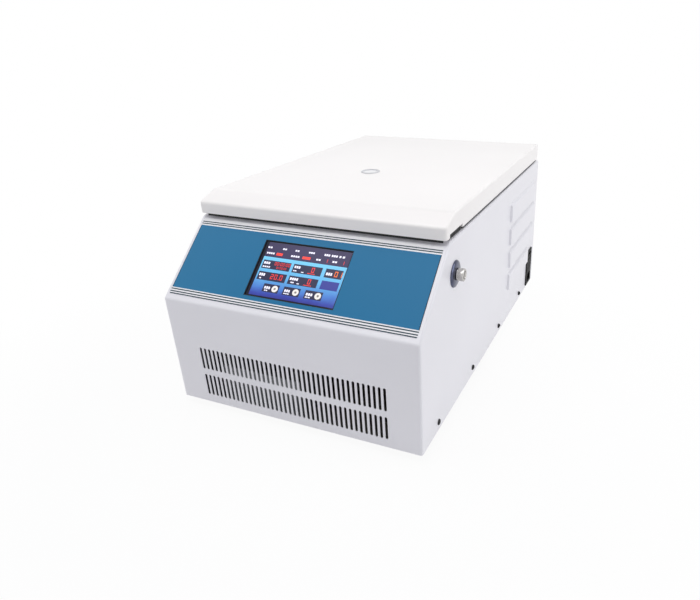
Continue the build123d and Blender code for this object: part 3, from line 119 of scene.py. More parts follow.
def soft_lamp(name, place, aim, size, power):
    """Square area lamp at `place`, turned to `aim`."""
    data = bpy.data.lights.new(name, "AREA")
    data.shape = "SQUARE"
    data.size = size
    data.energy = power
    lamp = bpy.data.objects.new(name, data)
    scene_objects.link(lamp)
    lamp.location = place
    lamp.rotation_euler = (Vector(aim) - Vector(place)).to_track_quat("-Z", "Y").to_euler()


full_white = (1.0, 1.0, 1.0, 1.0)
world = bpy.data.worlds.new("white_surround")
scene.world = world
world.use_nodes = True
tree = world.node_tree
tree.nodes.clear()
fill = put(tree, "ShaderNodeBackground", {"Color": (0.93, 0.94, 1.0, 1.0), "Strength": 0.385})
white = put(tree, "ShaderNodeBackground", {"Color": full_white, "Strength": 1.0})
surround = put(tree, "ShaderNodeMixShader", {"Fac": background_ray(tree), 1: fill, 2: white})
put(tree, "ShaderNodeOutputWorld", {"Surface": surround})

soft_lamp("ceiling_lamp", (-0.3, -0.1, 2.4), (0.0, 0.2, 0.2), 2.2, 31.5)
soft_lamp("right_lamp", (2.5, 0.8, 1.2), (0.0, 0.35, 0.15), 2.0, 24.0)
soft_lamp("front_lamp", (-1.7, -2.2, 0.9), (0.0, 0.2, 0.15), 1.6, 4.7)

bench_half = 8.0
bench_mesh = bpy.data.meshes.new("bench_top")
bench_mesh.from_pydata([(bench_half * x, bench_half * y, 0) for x, y in
                        ((-1, -1), (1, -1), (1, 1), (-1, 1))], [], [(0, 1, 2, 3)])
bench = bpy.data.objects.new("bench_top", bench_mesh)
scene_objects.link(bench)
bench_paint = bpy.data.materials.new("bench_white")
bench_paint.use_nodes = True
tree = bench_paint.node_tree
tree.nodes.clear()
matt = put(tree, "ShaderNodeBsdfDiffuse", {"Color": (0.88, 0.88, 0.88, 1.0)})
glow = put(tree, "ShaderNodeEmission", {"Color": full_white, "Strength": 1.0})
spot = put(tree, "ShaderNodeTexCoord").outputs["Object"]
reach = put(tree, "ShaderNodeVectorMath", {0: spot}, operation="LENGTH").outputs["Value"]
far = put(tree, "ShaderNodeMapRange", {"Value": reach, "From Min": 0.35, "From Max": 0.8,
                                       "To Min": 0.93, "To Max": 1.0})
share = maths(tree, "MULTIPLY", background_ray(tree), far)
both = put(tree, "ShaderNodeMixShader", {"Fac": share, 1: matt, 2: glow})
put(tree, "ShaderNodeOutputMaterial", {"Surface": both})
bench_mesh.materials.append(bench_paint)

# ---- Cabinet paint and the front panel ----
# The front panel is a flat steel sheet with two rows of punched slots, powder coated
# off-white.  It is screwed to the tray and butts against the returns of the side panels.


def tint(red, green, blue):
    """Linear colour from the screen values of a swatch, 0 to 255."""
    return tuple((c / 255.0 / 12.92) if c <= 10 else ((c / 255.0 + 0.055) / 1.055) ** 2.4
                 for c in (red, green, blue))


def fill_ramp(ramp, stops):
    """Give a colour ramp its stops, each a position and a colour."""
    for index, (position, colour) in enumerate(stops):
        stop = ramp.elements[0] if index == 0 else ramp.elements.new(position)
        stop.position = position
        stop.color = colour
    ramp.elements.remove(ramp.elements[-1])


def coat_node(material, *names):
    """Give CAD nodes their finish."""
    for name in names:
        mesh = nodes[name].data
        mesh.materials.clear()
        mesh.materials.append(material)


def finish(name, swatch, *coated, shade=0.9, patch=60.0, rough=0.3, spread=0.08, grain=900.0,
           depth=0.00001, metal=0.0, coat=0.0, specular=0.5, stretch=(1.0, 1.0, 1.0),
           optics=None):
    """Surface with faint patches of tone and a fine grain; the CAD nodes named get it."""
    material = bpy.data.materials.new(name)
    material.use_nodes = True
    tree = material.node_tree
    place = put(tree, "ShaderNodeTexCoord").outputs["Object"]
    scaled = put(tree, "ShaderNodeMapping", {"Vector": place, "Scale": stretch})
    patches, fine = [put(tree, "ShaderNodeTexNoise", {"Vector": scaled, "Scale": size,
                                                      "Detail": detail})
                     for size, detail in ((patch, 4.0), (grain, 3.0))]
    tones = put(tree, "ShaderNodeValToRGB", {"Fac": patches})
    colour = tint(*swatch)
    fill_ramp(tones.color_ramp, [(0.35, (*[c * shade for c in colour], 1.0)),
                                 (0.65, (*colour, 1.0))])
    gloss = put(tree, "ShaderNodeMapRange", {"Value": patches, "To Min": rough - spread,
                                             "To Max": rough + spread})
    relief = put(tree, "ShaderNodeBump", {"Height": fine, "Strength": 0.6, "Distance": depth})
    feed(tree.nodes["Principled BSDF"], {
        "Base Color": tones, "Roughness": gloss, "Normal": relief, "Metallic": metal,
        "Coat Weight": coat, "Specular IOR Level": specular, **(optics or {})})
    coat_node(material, *coated)
    return material


def place_piece(piece, material, body, slot, *replaced):
    """Finish a piece and let it ride on its body, in place of the nodes it stands for."""
    piece.data.materials.clear()
    piece.data.materials.append(material)
    piece.data.shade_smooth()
    piece.data.set_sharp_from_angle(angle=math.radians(32))
    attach(piece, body)
    if replaced:
        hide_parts(*replaced)


def plain_mesh(piece):
    """Turn a piece and its modifiers into one plain mesh."""
    bpy.context.view_layer.update()
    evaluated = piece.evaluated_get(bpy.context.evaluated_depsgraph_get())
    mesh = bpy.data.meshes.new_from_object(evaluated)
    mesh.name = piece.name
    piece.modifiers.clear()
    piece.data = mesh
    return piece


def node_tree(name, **inputs):
    """Empty geometry tree with its inputs, named kind by kind, and its two end nodes."""
    made = bpy.data.node_groups.new(name, "GeometryNodeTree")
    for kind, labels in {"Geometry": "Geometry", **inputs}.items():
        for label in labels.split():
            made.interface.new_socket(name=label, in_out="INPUT", socket_type="NodeSocket" + kind)
    made.interface.new_socket(name="Geometry", in_out="OUTPUT", socket_type="NodeSocketGeometry")
    return made, made.nodes.new("NodeGroupInput").outputs, made.nodes.new("NodeGroupOutput")


def end_tree(made, geometry, given, result):
    """Last nodes of a geometry tree: its instances made real, and the material set."""
    real = put(made, "GeometryNodeRealizeInstances", {"Geometry": geometry})
    feed(result, {"Geometry": put(made, "GeometryNodeSetMaterial", {
        "Geometry": real, "Material": given["material"]})})
    return made


def grow(name, mesh, made, **values):
    """Run a geometry tree on a mesh with these inputs, and keep the plain mesh."""
    piece = bpy.data.objects.new(name, mesh)
    scene_objects.link(piece)
    modifier = piece.modifiers.new("made", "NODES")
    modifier.node_group = made
    sockets = {s.name: s.identifier for s in made.interface.items_tree if s.in_out == "INPUT"}
    for label, value in values.items():
        modifier[sockets[label]] = value
    return plain_mesh(piece)


off_white = finish("off_white_coat", (240, 239, 244), shade=0.975, patch=5.0, rough=0.34,
                   spread=0.04, grain=1100.0, depth=0.000012, coat=0.12)


def slotted_sheet():
    """Tree for a punched sheet: slots on a grid, cut from a rectangle, given its thickness."""
    made, given, result = node_tree(
        "slotted_sheet", Int="count_x count_z", Material="material",
        Float="width height thickness slot_width slot_height pitch_x pitch_z shift_x shift_z")

    def span(count, pitch):
        return maths(made, "MULTIPLY", maths(made, "SUBTRACT", given[count], 1.0), given[pitch])

    sheet, slot = [put(made, "GeometryNodeCurvePrimitiveQuadrilateral",
                       {"Width": given[width], "Height": given[height]})
                   for width, height in (("width", "height"), ("slot_width", "slot_height"))]
    narrow = maths(made, "MINIMUM", given["slot_width"], given["slot_height"])
    almost_half = 0.499
    rounded = put(made, "GeometryNodeFilletCurve", {
        "Count": 5, "Curve": slot, "Radius": maths(made, "MULTIPLY", narrow, almost_half)},
        mode="POLY")
    rows = put(made, "GeometryNodeMeshGrid", {
        "Size X": span("count_x", "pitch_x"), "Size Y": span("count_z", "pitch_z"),
        "Vertices X": given["count_x"], "Vertices Y": given["count_z"]})
    punched = put(made, "GeometryNodeInstanceOnPoints", {"Points": rows, "Instance": rounded})
    shift = put(made, "ShaderNodeCombineXYZ", {"X": given["shift_x"], "Y": given["shift_z"]})
    moved = put(made, "GeometryNodeTransform", {"Geometry": punched, "Translation": shift})
    outlines = put(made, "GeometryNodeJoinGeometry", {"Geometry": [moved, sheet]})
    loose = put(made, "GeometryNodeRealizeInstances", {"Geometry": outlines})
    face = put(made, "GeometryNodeFillCurve", {"Curve": loose})
    raised = put(made, "GeometryNodeExtrudeMesh", {
        "Individual": False, "Mesh": face, "Offset Scale": given["thickness"]})
    turned_over = put(made, "GeometryNodeFlipFaces", {"Mesh": face})
    closed = put(made, "GeometryNodeJoinGeometry", {"Geometry": [turned_over, raised]})
    weld = 0.000005
    welded = put(made, "GeometryNodeMergeByDistance", {"Distance": weld, "Geometry": closed})
    return end_tree(made, welded, given, result)


sheet_steel, front_steel = 0.0015, 0.0008
low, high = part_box("front_panel")
cabinet_foot = low.z
slot_row_low = cabinet_foot + 0.0335
slot_row_high = cabinet_foot + 0.0820
front = grow("front_panel_sheet", bpy.data.meshes.new("front_panel_sheet"), slotted_sheet(),
             width=high.x - low.x, height=high.z - low.z, thickness=front_steel,
             slot_width=0.0044, slot_height=0.0385, pitch_x=0.00821,
             pitch_z=slot_row_high - slot_row_low, count_x=40, count_z=2, shift_x=0.0,
             shift_z=(slot_row_low + slot_row_high - low.z - high.z) / 2, material=off_white)
front.data.transform(Matrix.Translation((0.0, front_steel, (low.z + high.z) / 2))
                     @ Matrix.Rotation(math.radians(90), 4, "X"))
place_piece(front, off_white, "cabinet", "cabinet_paint", "front_panel")

# ---- Console panel ----
# One folded sheet: the front crease, the slope that carries the screen, and the wide roll on to
# the deck.  The screen looks through a square-cornered window.
slope = math.radians(41.5)
seam_below_crease = 0.008
console_low, console_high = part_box("console_panel")
crease_z = console_low.z + seam_below_crease
deck_z = console_high.z
slope_run = (deck_z - crease_z) / math.tan(slope)
crease_radius = 0.006
brow_radius = 0.020
half_width = 0.215
panel_half = high.x
cabinet_depth = 0.692
fold_radius = 0.004


def rounded_path(corners, steps=8):
    """Points of a path whose corners (y, z, radius) are rounded, a fixed number for each."""
    path = []
    for index, (y, z, radius) in enumerate(corners):
        here = Vector((y, z))
        if radius <= 0:
            path.append(here)
            continue
        before = Vector(corners[index - 1][:2]) - here
        after = Vector(corners[index + 1][:2]) - here
        before.normalize()
        after.normalize()
        opening = before.angle(after)
        reach = radius / math.tan(opening / 2)
        centre = here + (before + after).normalized() * (radius / math.sin(opening / 2))
        first = here + before * reach - centre
        last = here + after * reach - centre
        sweep = first.angle_signed(last)
        path += [centre + Matrix.Rotation(-sweep * k / steps, 2) @ first
                 for k in range(steps + 1)]
    return path


def cabinet_outline(inset, start_z, rear=True):
    """Outline of the cabinet from the foot of its front over the deck, drawn in by `inset`."""
    slip_z = inset * (math.tan(slope) - 1 / math.cos(slope))
    slip_y = inset * (1 / math.cos(slope) - 1) / math.tan(slope)
    corners = [(inset, start_z, 0), (inset, crease_z + slip_z, crease_radius - inset),
               (slope_run + slip_y, deck_z - inset, brow_radius - inset)]
    if rear:
        corners += [(cabinet_depth - inset, deck_z - inset, crease_radius - inset),
                    (cabinet_depth - inset, start_z, 0)]
    else:
        corners.append((console_high.y, deck_z - inset, 0))
    return rounded_path(corners)


def join_rows(form, rows, closed=False):
    """Faces between rows of points of one length, each row a closed loop if so said."""
    for a, b in zip(rows, rows[1:]):
        for k in range(0 if closed else 1, len(a)):
            form.faces.new((a[k - 1], a[k], b[k], b[k - 1]))


def built(name, form, outwards=False):
    """Object made of a finished bmesh, its normals turned outwards if so said."""
    if outwards:
        bmesh.ops.recalc_face_normals(form, faces=form.faces)
    mesh = bpy.data.meshes.new(name)
    form.to_mesh(mesh)
    piece = bpy.data.objects.new(name, mesh)
    scene_objects.link(piece)
    return piece


def thicken(piece, thickness):
    """Give an open sheet its thickness, on the side away from its normals."""
    solid = piece.modifiers.new("sheet", "SOLIDIFY")
    solid.thickness = thickness
    solid.offset = -1.0
    solid.use_even_offset = True
    return plain_mesh(piece)


window_low, window_high = -0.07625, 0.07625
window_middle, window_reach = 0.0744, 0.04725
window_start = window_middle - window_reach
window_end = window_middle + window_reach
console = bmesh.new()
path = cabinet_outline(0.0, crease_z - seam_below_crease, rear=False)
slope_dir = Vector((math.cos(slope), math.sin(slope)))
crease_point = Vector((0.0, crease_z))
marks = [crease_point + slope_dir * v for v in (window_start, window_end)]
split = next(i for i, p in enumerate(path) if (p - crease_point).dot(slope_dir) > window_end
             and p.y > marks[1].y)
path[split:split] = marks
stations = [-panel_half, window_low, window_high, panel_half]
rows = [[console.verts.new((x, p.x, p.y)) for x in stations] for p in path]
join_rows(console, rows)
window = {*rows[split][1:3], *rows[split + 1][1:3]}
console.faces.remove(next(face for face in console.faces if set(face.verts) == window))
console_sheet = thicken(built("console_sheet", console), sheet_steel)
place_piece(console_sheet, off_white, "cabinet", "cabinet_paint", "console_panel")

# ---- Side panels ----
# Pressed steel panels, folded 12 mm on to the front, slope, deck and back.  Each has four
# louvres: hoods pressed outwards under a sloped head, closed at both ends and open at the foot.
louvre_front, louvre_length, louvre_height = 0.453, 0.207, 0.035
louvre_top, louvre_pitch = cabinet_foot + 0.244, 0.0472
louvre_tops = [louvre_top - louvre_pitch * i for i in range(4)]
louvre_bulge, louvre_rise, louvre_end = 0.0042, 0.006, 0.002
weld = 0.00001
inlet_low, inlet_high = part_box("power_inlet")
inlet_flange = 0.003
inlet_mouth = (inlet_low.y + inlet_flange, inlet_high.y - inlet_flange,
               inlet_low.z + inlet_flange, inlet_high.z - inlet_flange)


def hood_height(along, down, length):
    """Height of a louvre's hood: it swells out under its head and ends at full height."""
    head = min(1.0, down / louvre_rise)
    end = max(0.0, min(1.0, along / louvre_end, (length - along) / louvre_end))
    return louvre_bulge * math.sin(head * math.pi / 2) * math.sin(end * math.pi / 2)


def side_skin(name, side):
    """Outer skin of one side panel: flat face with its holes, louvres, fold and returns."""
    skin = bmesh.new()
    face_x = side * half_width

    def ring(points, x):
        return [skin.verts.new((x, *p)) for p in points]

    rings = [ring(cabinet_outline(fold_radius * (1 - math.sin(a)), cabinet_foot),
                  side * (half_width - fold_radius * (1 - math.cos(a))))
             for a in [math.radians(15 * k) for k in range(7)]]
    rings.append(ring(cabinet_outline(0.0, cabinet_foot), side * panel_half))
    join_rows(skin, rings)
    loops = [rings[0]]
    for index, top_z in enumerate(louvre_tops):
        length = louvre_length
        if side > 0 and index == 3:
            length = inlet_low.y - inlet_flange - louvre_front
        ends = [louvre_end * k / 5 for k in range(6)]
        spans = [ends[-1] + (length - 2 * ends[-1]) * k / 12 for k in range(1, 12)]
        ys = [louvre_front + v for v in ends + spans + [length - e for e in ends[::-1]]]
        zs = [top_z - louvre_rise * k / 6 for k in range(7)] + [top_z - louvre_height]
        hood = [[skin.verts.new((face_x + side * hood_height(y - louvre_front, top_z - z, length),
                                 y, z)) for y in ys] for z in zs]
        join_rows(skin, hood)
        slit = [skin.verts.new((face_x, y, zs[-1])) for y in ys[1:-1]]
        loops.append([hood[-1][0], *slit] + [row[-1] for row in hood[::-1]]
                     + hood[0][-2:0:-1] + [row[0] for row in hood[:-1]])
    if side > 0:
        y0, y1, z0, z1 = inlet_mouth
        loops.append(ring([(y0, z0), (y1, z0), (y1, z1), (y0, z1)], face_x))
    edges = []
    for loop in loops:
        for a, b in zip(loop, loop[1:] + loop[:1]):
            edges.append(skin.edges.get((a, b)) or skin.edges.new((a, b)))
    bmesh.ops.triangle_fill(skin, use_beauty=True, edges=list(dict.fromkeys(edges)))
    bmesh.ops.remove_doubles(skin, verts=skin.verts, dist=weld)
    bmesh.ops.recalc_face_normals(skin, faces=skin.faces)
    flat = max(skin.faces, key=lambda f: f.calc_area())
    if flat.normal.x * side < 0:
        bmesh.ops.reverse_faces(skin, faces=skin.faces)
    return built(name, skin)


for side, name in ((1, "right_side_panel"), (-1, "left_side_panel")):
    panel = thicken(side_skin(f"{name}_skin", side), sheet_steel)
    place_piece(panel, off_white, "cabinet", "cabinet_paint", name)
    for face in panel.data.polygons:
        face.use_smooth = abs(face.normal.x) < 0.9999

# ---- Deck, rear panel and tray ----
# The deck is the flat sheet under the lid; the rear panel has two columns of exhaust slots; the
# tray closes the cabinet from below and is left zinc plated.
coat_node(off_white, "deck_panel", "rear_panel")
finish("zinc_plate", (176, 178, 180), "base_tray", "motor_plate", "display_bracket",
       "lock_housing", shade=0.86, rough=0.38, spread=0.1, grain=500.0, metal=0.9)
rubber = finish("black_rubber", (38, 38, 39), "rubber_feet", "shock_mounts", "spindle_boot",
                "lid_buffers", "lid_gasket", shade=0.8, patch=40.0, rough=0.72, grain=1500.0,
                depth=0.00004, specular=0.3)

# ---- Lid ----
# Moulded cover in white plastic: upright nose, long bevel, rounded corners and a skirt that
# hangs just clear of the deck.  It is screwed to the liner, whose steel carries the hinges.
white_plastic = finish("white_moulding", (252, 249, 247), shade=0.98, patch=4.0, spread=0.04,
                       coat=0.1)
lid_low, lid_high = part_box("lid_shell")
lid_wall = 0.003
lid_corner = 0.005
nose_height = 0.0186
bevel_run = 0.038


def rounded_rectangle(low_x, high_x, low_y, high_y, radius, steps):
    """Corner-rounded outline, counter-clockwise from the right front corner."""
    points = []
    for index, (cx, cy) in enumerate(((high_x, low_y), (high_x, high_y), (low_x, high_y),
                                      (low_x, low_y))):
        centre = Vector((cx - math.copysign(radius, cx - (low_x + high_x) / 2),
                         cy - math.copysign(radius, cy - (low_y + high_y) / 2)))
        for k in range(steps + 1):
            angle = math.radians(90) * (index - 1 + k / steps)
            points.append((centre.x + radius * math.cos(angle),
                           centre.y + radius * math.sin(angle)))
    return points


def cutter(name, low, high):
    """Plain box for a boolean cut."""
    block = bmesh.new()
    bmesh.ops.create_cube(block, size=1.0)
    size = Vector(high) - Vector(low)
    bmesh.ops.transform(block, matrix=Matrix.Translation((Vector(low) + Vector(high)) / 2)
                        @ Matrix.Diagonal((*size, 1.0)), verts=block.verts)
    return built(name, block)


def cut_away(piece, *cutters):
    """Cut the cutters out of a piece, keep the plain mesh and drop the cutters."""
    for tool in cutters:
        cut = piece.modifiers.new("cut", "BOOLEAN")
        cut.object = tool
        cut.solver = "EXACT"
    plain_mesh(piece)
    for tool in cutters:
        bpy.data.objects.remove(tool)
    return piece


block = bmesh.new()
outline = rounded_rectangle(lid_low.x, lid_high.x, lid_low.y, lid_high.y, lid_corner, 10)
foot = [block.verts.new((x, y, lid_low.z)) for x, y in outline]
top = [block.verts.new((x, y, lid_high.z)) for x, y in outline]
join_rows(block, [foot, top], closed=True)
block.faces.new(top)
bevel_foot = Vector((0.0, lid_low.y, lid_low.z + nose_height))
bevel_head = Vector((0.0, lid_low.y + bevel_run, lid_high.z))
rise = bevel_head - bevel_foot
across = Vector((0.0, -rise.z, rise.y)).normalized()
cut = bmesh.ops.bisect_plane(block, geom=block.verts[:] + block.edges[:] + block.faces[:],
                             plane_co=bevel_foot, plane_no=across, clear_outer=True)
seam = [e for e in cut["geom_cut"] if isinstance(e, bmesh.types.BMEdge)]
bmesh.ops.contextual_create(block, geom=seam)
bmesh.ops.remove_doubles(block, verts=block.verts, dist=weld)
bmesh.ops.recalc_face_normals(block, faces=block.faces)
block.faces.ensure_lookup_table()
crown_radius, ridge_radius = 0.0038, 0.006
crown = [e for e in block.edges if len(e.link_faces) == 2 and
         max(f.normal.z for f in e.link_faces) > 0.5 > min(f.normal.z for f in e.link_faces)]
bmesh.ops.bevel(block, geom=crown, offset=crown_radius, offset_type="OFFSET", segments=6,
                profile=0.5, affect="EDGES", clamp_overlap=False)
ridge = [e for e in block.edges if len(e.link_faces) == 2
         and abs(e.verts[0].co.x - e.verts[1].co.x) > 0.3
         and min(f.normal.z for f in e.link_faces) > 0.9 and e.calc_face_angle(0.0) > 0.2]
bmesh.ops.bevel(block, geom=ridge, offset=ridge_radius, offset_type="OFFSET", segments=5,
                profile=0.5, affect="EDGES", clamp_overlap=False)
lid_moulding = thicken(built("lid_moulding", block), lid_wall)
port_low, port_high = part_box("sight_window")
port = (port_low + port_high) / 2
fit_gap = 0.0003
port_radius = (port_high.x - port_low.x) / 2 + fit_gap
bore = bmesh.new()
bmesh.ops.create_cone(bore, cap_ends=True, segments=96, radius1=port_radius, radius2=port_radius,
                      depth=0.1, matrix=Matrix.Translation((port.x, port.y, lid_high.z)))
buffer_low, buffer_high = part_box("lid_buffers")
notch_room, notch_width = 0.001, 0.009
notch_head = lid_low.z + 0.0054
relief_start, relief_head = 0.676, lid_low.z + 0.0075
past_side, past_rear, below_lid = 0.25, 0.72, 0.28
notch_start, notch_end = buffer_low.y - notch_room, buffer_high.y + notch_room
cut_away(lid_moulding, built("port_bore", bore),
         cutter("left_notch", (-past_side, notch_start, below_lid),
                (buffer_low.x + notch_width, notch_end, notch_head)),
         cutter("right_notch", (buffer_high.x - notch_width, notch_start, below_lid),
                (past_side, notch_end, notch_head)),
         cutter("hinge_relief", (-panel_half, relief_start, below_lid),
                (panel_half, past_rear, relief_head)))
place_piece(lid_moulding, white_plastic, "lid", "lid_plastic", "lid_shell")
coat_node(white_plastic, "lid_liner")
# Black strips hung under the front and side skirts: painted shade, a dark sheet that stands for
# the shadow in the gap under the lid.
shade_strip_setback, shade_strip_thickness, shade_strip_end = 0.0007, 0.0018, 0.002
shade_strip_left, shade_strip_right = lid_low.x + shade_strip_setback, lid_high.x - shade_strip_setback
shade_strip_start, shade_strip_stop = buffer_high.y + shade_strip_end, relief_start - shade_strip_end
front_foot, side_foot = deck_z + 0.0006, deck_z + 0.0018
front_left, front_right = lid_low.x + 0.014, lid_high.x - lid_corner - 0.001
for name, low, high in (
        ("front_lip", (front_left, lid_low.y + shade_strip_setback, front_foot),
         (front_right, lid_low.y + shade_strip_setback + shade_strip_thickness, lid_low.z)),
        ("right_lip", (shade_strip_right - shade_strip_thickness, shade_strip_start, side_foot),
         (shade_strip_right, shade_strip_stop, lid_low.z)),
        ("left_lip", (shade_strip_left, shade_strip_start, side_foot),
         (shade_strip_left + shade_strip_thickness, shade_strip_stop, lid_low.z))):
    place_piece(cutter(name, low, high), rubber, "lid", "rubber")

# ---- Sight port and buffers ----
# A milky stud of acrylic fills the bore through lid and liner, under a thin grey ring that is
# pressed into the top.  Rubber pads on the deck show in the notches of the skirt.


def lathe(name, profile, place, aim="Z", steps=96):
    """Piece turned from a profile of (radius, height), set on its place and along an axis."""
    turned = bmesh.new()
    loops = []
    for radius, height in profile:
        if radius <= 0:
            loops.append([turned.verts.new((0.0, 0.0, height))] * steps)
            continue
        loops.append([turned.verts.new((radius * math.cos(math.tau * k / steps),
                                        radius * math.sin(math.tau * k / steps), height))
                      for k in range(steps)])
    for below, above in zip(loops, loops[1:] + loops[:1]):
        for k in range(steps):
            corners = dict.fromkeys((below[k - 1], below[k], above[k], above[k - 1]))
            if len(corners) > 2:
                turned.faces.new(corners)
    turn = Matrix.Rotation(math.radians(90), 4, "Y") if aim == "X" else Matrix.Identity(4)
    turned.transform(Matrix.Translation(place) @ turn)
    return built(name, turned, outwards=True)


def arc(centre, radius, start, end, steps=6, height=None):
    """Points on an arc of a profile, angles in degrees from outwards, flattened to `height`."""
    angles = [math.radians(start + (end - start) * k / steps) for k in range(steps + 1)]
    return [(centre[0] + radius * math.cos(a), centre[1] + (height or radius) * math.sin(a))
            for a in angles]


finish("milky_acrylic", (250, 250, 251), "sight_window", shade=0.98, patch=30.0, rough=0.12,
       spread=0.03, grain=600.0, depth=0.000004, optics={"Transmission Weight": 0.05, "IOR": 1.49})
ring_plastic = finish("ring_plastic", (206, 207, 210), shade=0.97, patch=20.0, rough=0.35,
                      spread=0.04)
ring_low, ring_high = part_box("sight_ring")
ring_height = ring_high.z - ring_low.z
ring_outer = (ring_high.x - ring_low.x) / 2
ring_inner = port_radius - 0.0013
edge = 0.0006
port_ring = lathe("port_ring", [(ring_inner, 0.0), (ring_outer, 0.0)]
                  + arc((ring_outer - edge, ring_height - edge), edge, 0, 90)
                  + arc((ring_inner + edge, ring_height - edge), edge, 90, 180),
                  (port.x, port.y, ring_low.z))
place_piece(port_ring, ring_plastic, "lid", "lid_plastic", "sight_ring")

# ---- Hinges, gasket and lock ----
# Two steel butt hinges carry the lid.  A rubber ring under the liner seals against the bowl's
# rim, and the striker hangs down into the lock, whose bolt is drawn by the release knob.
bright_steel = finish("bright_steel", (190, 191, 194), "deck_hinge_leaves", "lid_hinge_leaves",
                      "hinge_pins", "lid_striker", "lock_bolt", patch=50.0, rough=0.24,
                      grain=700.0, depth=0.000006, metal=1.0, stretch=(1.0, 1.0, 8.0))

# ---- Screws ----
# Black pan-head screws with a cross recess hold the side panels to the tray, four a side, and
# the rear panel with three.
black_screw = finish("blackened_screw", (34, 34, 37), shade=0.7, patch=300.0, rough=0.42,
                     spread=0.1, grain=3000.0, metal=0.6)


def turned_copies():
    """Tree that sets a copy of one piece on each point, turned by the point's own angles."""
    made, given, result = node_tree("turned_copies", Object="copied", Material="material")
    copied = put(made, "GeometryNodeObjectInfo", {"Object": given["copied"]})
    angles = put(made, "GeometryNodeInputNamedAttribute", {"Name": "turn"},
                 data_type="FLOAT_VECTOR")
    turned = put(made, "FunctionNodeEulerToRotation", {"Euler": angles})
    copies = put(made, "GeometryNodeInstanceOnPoints", {
        "Points": given["Geometry"], "Instance": copied.outputs["Geometry"], "Rotation": turned})
    return end_tree(made, copies, given, result)


screw_low, screw_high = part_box("cabinet_screws")
screw_z = (screw_low.z + screw_high.z) / 2
quarter = math.pi / 2
first_screw, side_pitch, rear_pitch = 0.065, 0.1648, 0.15
places = [((side * half_width, first_screw + side_pitch * k, screw_z),
           (0.3 * k, side * quarter, 0.0)) for side in (1, -1) for k in range(4)]
places += [((rear_pitch * k, cabinet_depth, screw_z), (-quarter, 0.0, 0.0)) for k in (-1, 0, 1)]
points = bpy.data.meshes.new("cabinet_screw_heads")
points.from_pydata([place for place, _ in places], [], [])
turns = points.attributes.new("turn", "FLOAT_VECTOR", "POINT")
turns.data.foreach_set("vector", [a for _, angles in places for a in angles])
radius, rim, crown, shank, foot = 0.0048, 0.0008, 0.0016, 0.002, -0.0066
head = lathe("screw_head", [(0.0, foot), (shank, foot), (shank, 0.0), (radius, 0.0), (radius, rim),
                            *arc((0.0, rim), radius, 15, 75, 4, crown), (0.0, rim + crown)],
             (0.0, 0.0, 0.0), steps=40)
blade, arm, floor = 0.00055, 0.0025, 0.0009
one_screw = cut_away(head, cutter("recess_a", (-arm, -blade, floor), (arm, blade, 0.004)),
                     cutter("recess_b", (-blade, -arm, floor), (blade, arm, 0.004)))
screws = grow("cabinet_screw_heads", points, turned_copies(), copied=one_screw,
              material=black_screw)
bpy.data.objects.remove(one_screw)
place_piece(screws, black_screw, "cabinet", "black_screws", "cabinet_screws")

# ---- Control label ----
# Polyester film stuck on the slope: a teal field between thin white and dark lines.  The print
# is a finish on the film itself, by the height up the slope.  The teal is painted paler to the
# left, a painted sheen, and both ends of the film are painted dark, a painted shade at its edges.


def up_slope(tree, start, end):
    """How far a point lies up the slope: 0 at `start` and 1 at `end`, from the crease."""
    place = tree.nodes["Texture Coordinate"].outputs["Object"]
    up = put(tree, "ShaderNodeVectorMath", {0: place, 1: (0.0, math.cos(slope), math.sin(slope))},
             operation="DOT_PRODUCT").outputs["Value"]
    base = crease_z * math.sin(slope)
    return put(tree, "ShaderNodeMapRange", {"Value": up, "From Min": base + start,
                                            "From Max": base + end})


def mixed(tree, factor, first, second):
    """Mix of two colours."""
    return put(tree, "ShaderNodeMix", {"Factor": factor, "A": first, "B": second},
               data_type="RGBA").outputs["Result"]


film = finish("printed_film", (30, 116, 162), "control_label", shade=0.97, patch=6.0, rough=0.38,
              spread=0.04, grain=1200.0, depth=0.000005, specular=0.2)
tree = film.node_tree
ramp_length = 0.15
bands = put(tree, "ShaderNodeValToRGB", {"Fac": up_slope(tree, 0.0, ramp_length)})
bands.color_ramp.interpolation = "CONSTANT"
white, dark, field = (0.93, 0.93, 0.94, 0.0), (*tint(14, 48, 68), 0.0), (0.0, 0.0, 0.0, 1.0)
stops = ((0.0, white), (9.0, dark), (10.7, white), (12.8, dark), (14.5, white),
         (16.6, dark), (18.3, white), (20.0, field), (132.8, white), (135.1, dark),
         (136.8, white), (138.8, dark), (140.5, white))
fill_ramp(bands.color_ramp, [(millimetres / 1000 / ramp_length, colour)
                             for millimetres, colour in stops])
across = put(tree, "ShaderNodeSeparateXYZ",
             {0: tree.nodes["Texture Coordinate"].outputs["Object"]}).outputs["X"]
# painted light: the teal is painted paler towards the left, a painted sheen
painted_sheen_left = put(tree, "ShaderNodeMapRange", {"Value": across, "From Min": -0.2, "From Max": 0.0,
                                         "To Min": 0.12, "To Max": 0.0})
teal = mixed(tree, painted_sheen_left, tree.nodes["Color Ramp"], (*tint(104, 152, 184), 1.0))
# both ends of the film are painted dark: painted shade at the film's edges
edge_shade_start = 0.2070
ends = maths(tree, "GREATER_THAN", maths(tree, "ABSOLUTE", across), edge_shade_start)
edge_shaded = mixed(tree, ends, teal, (*dark[:3], 1.0))
feed(tree.nodes["Principled BSDF"], {
    "Base Color": mixed(tree, bands.outputs["Alpha"], bands, edge_shaded)})

# ---- Touch screen ----
# A glass-fronted display behind the window of the console.  Its picture is lit from behind: a
# status strip, five boxes with red or orange figures, a blank box and three keys with discs.


def lit(name, swatch, power):
    """Lit part of the display's picture under its glass."""
    material = finish(name, swatch, patch=40.0, rough=0.2, spread=0.03, depth=0.000002,
                      specular=0.2)
    tree = material.node_tree
    feed(tree.nodes["Principled BSDF"], {"Emission Color": tree.nodes["Color Ramp"],
                                         "Emission Strength": power})
    return material


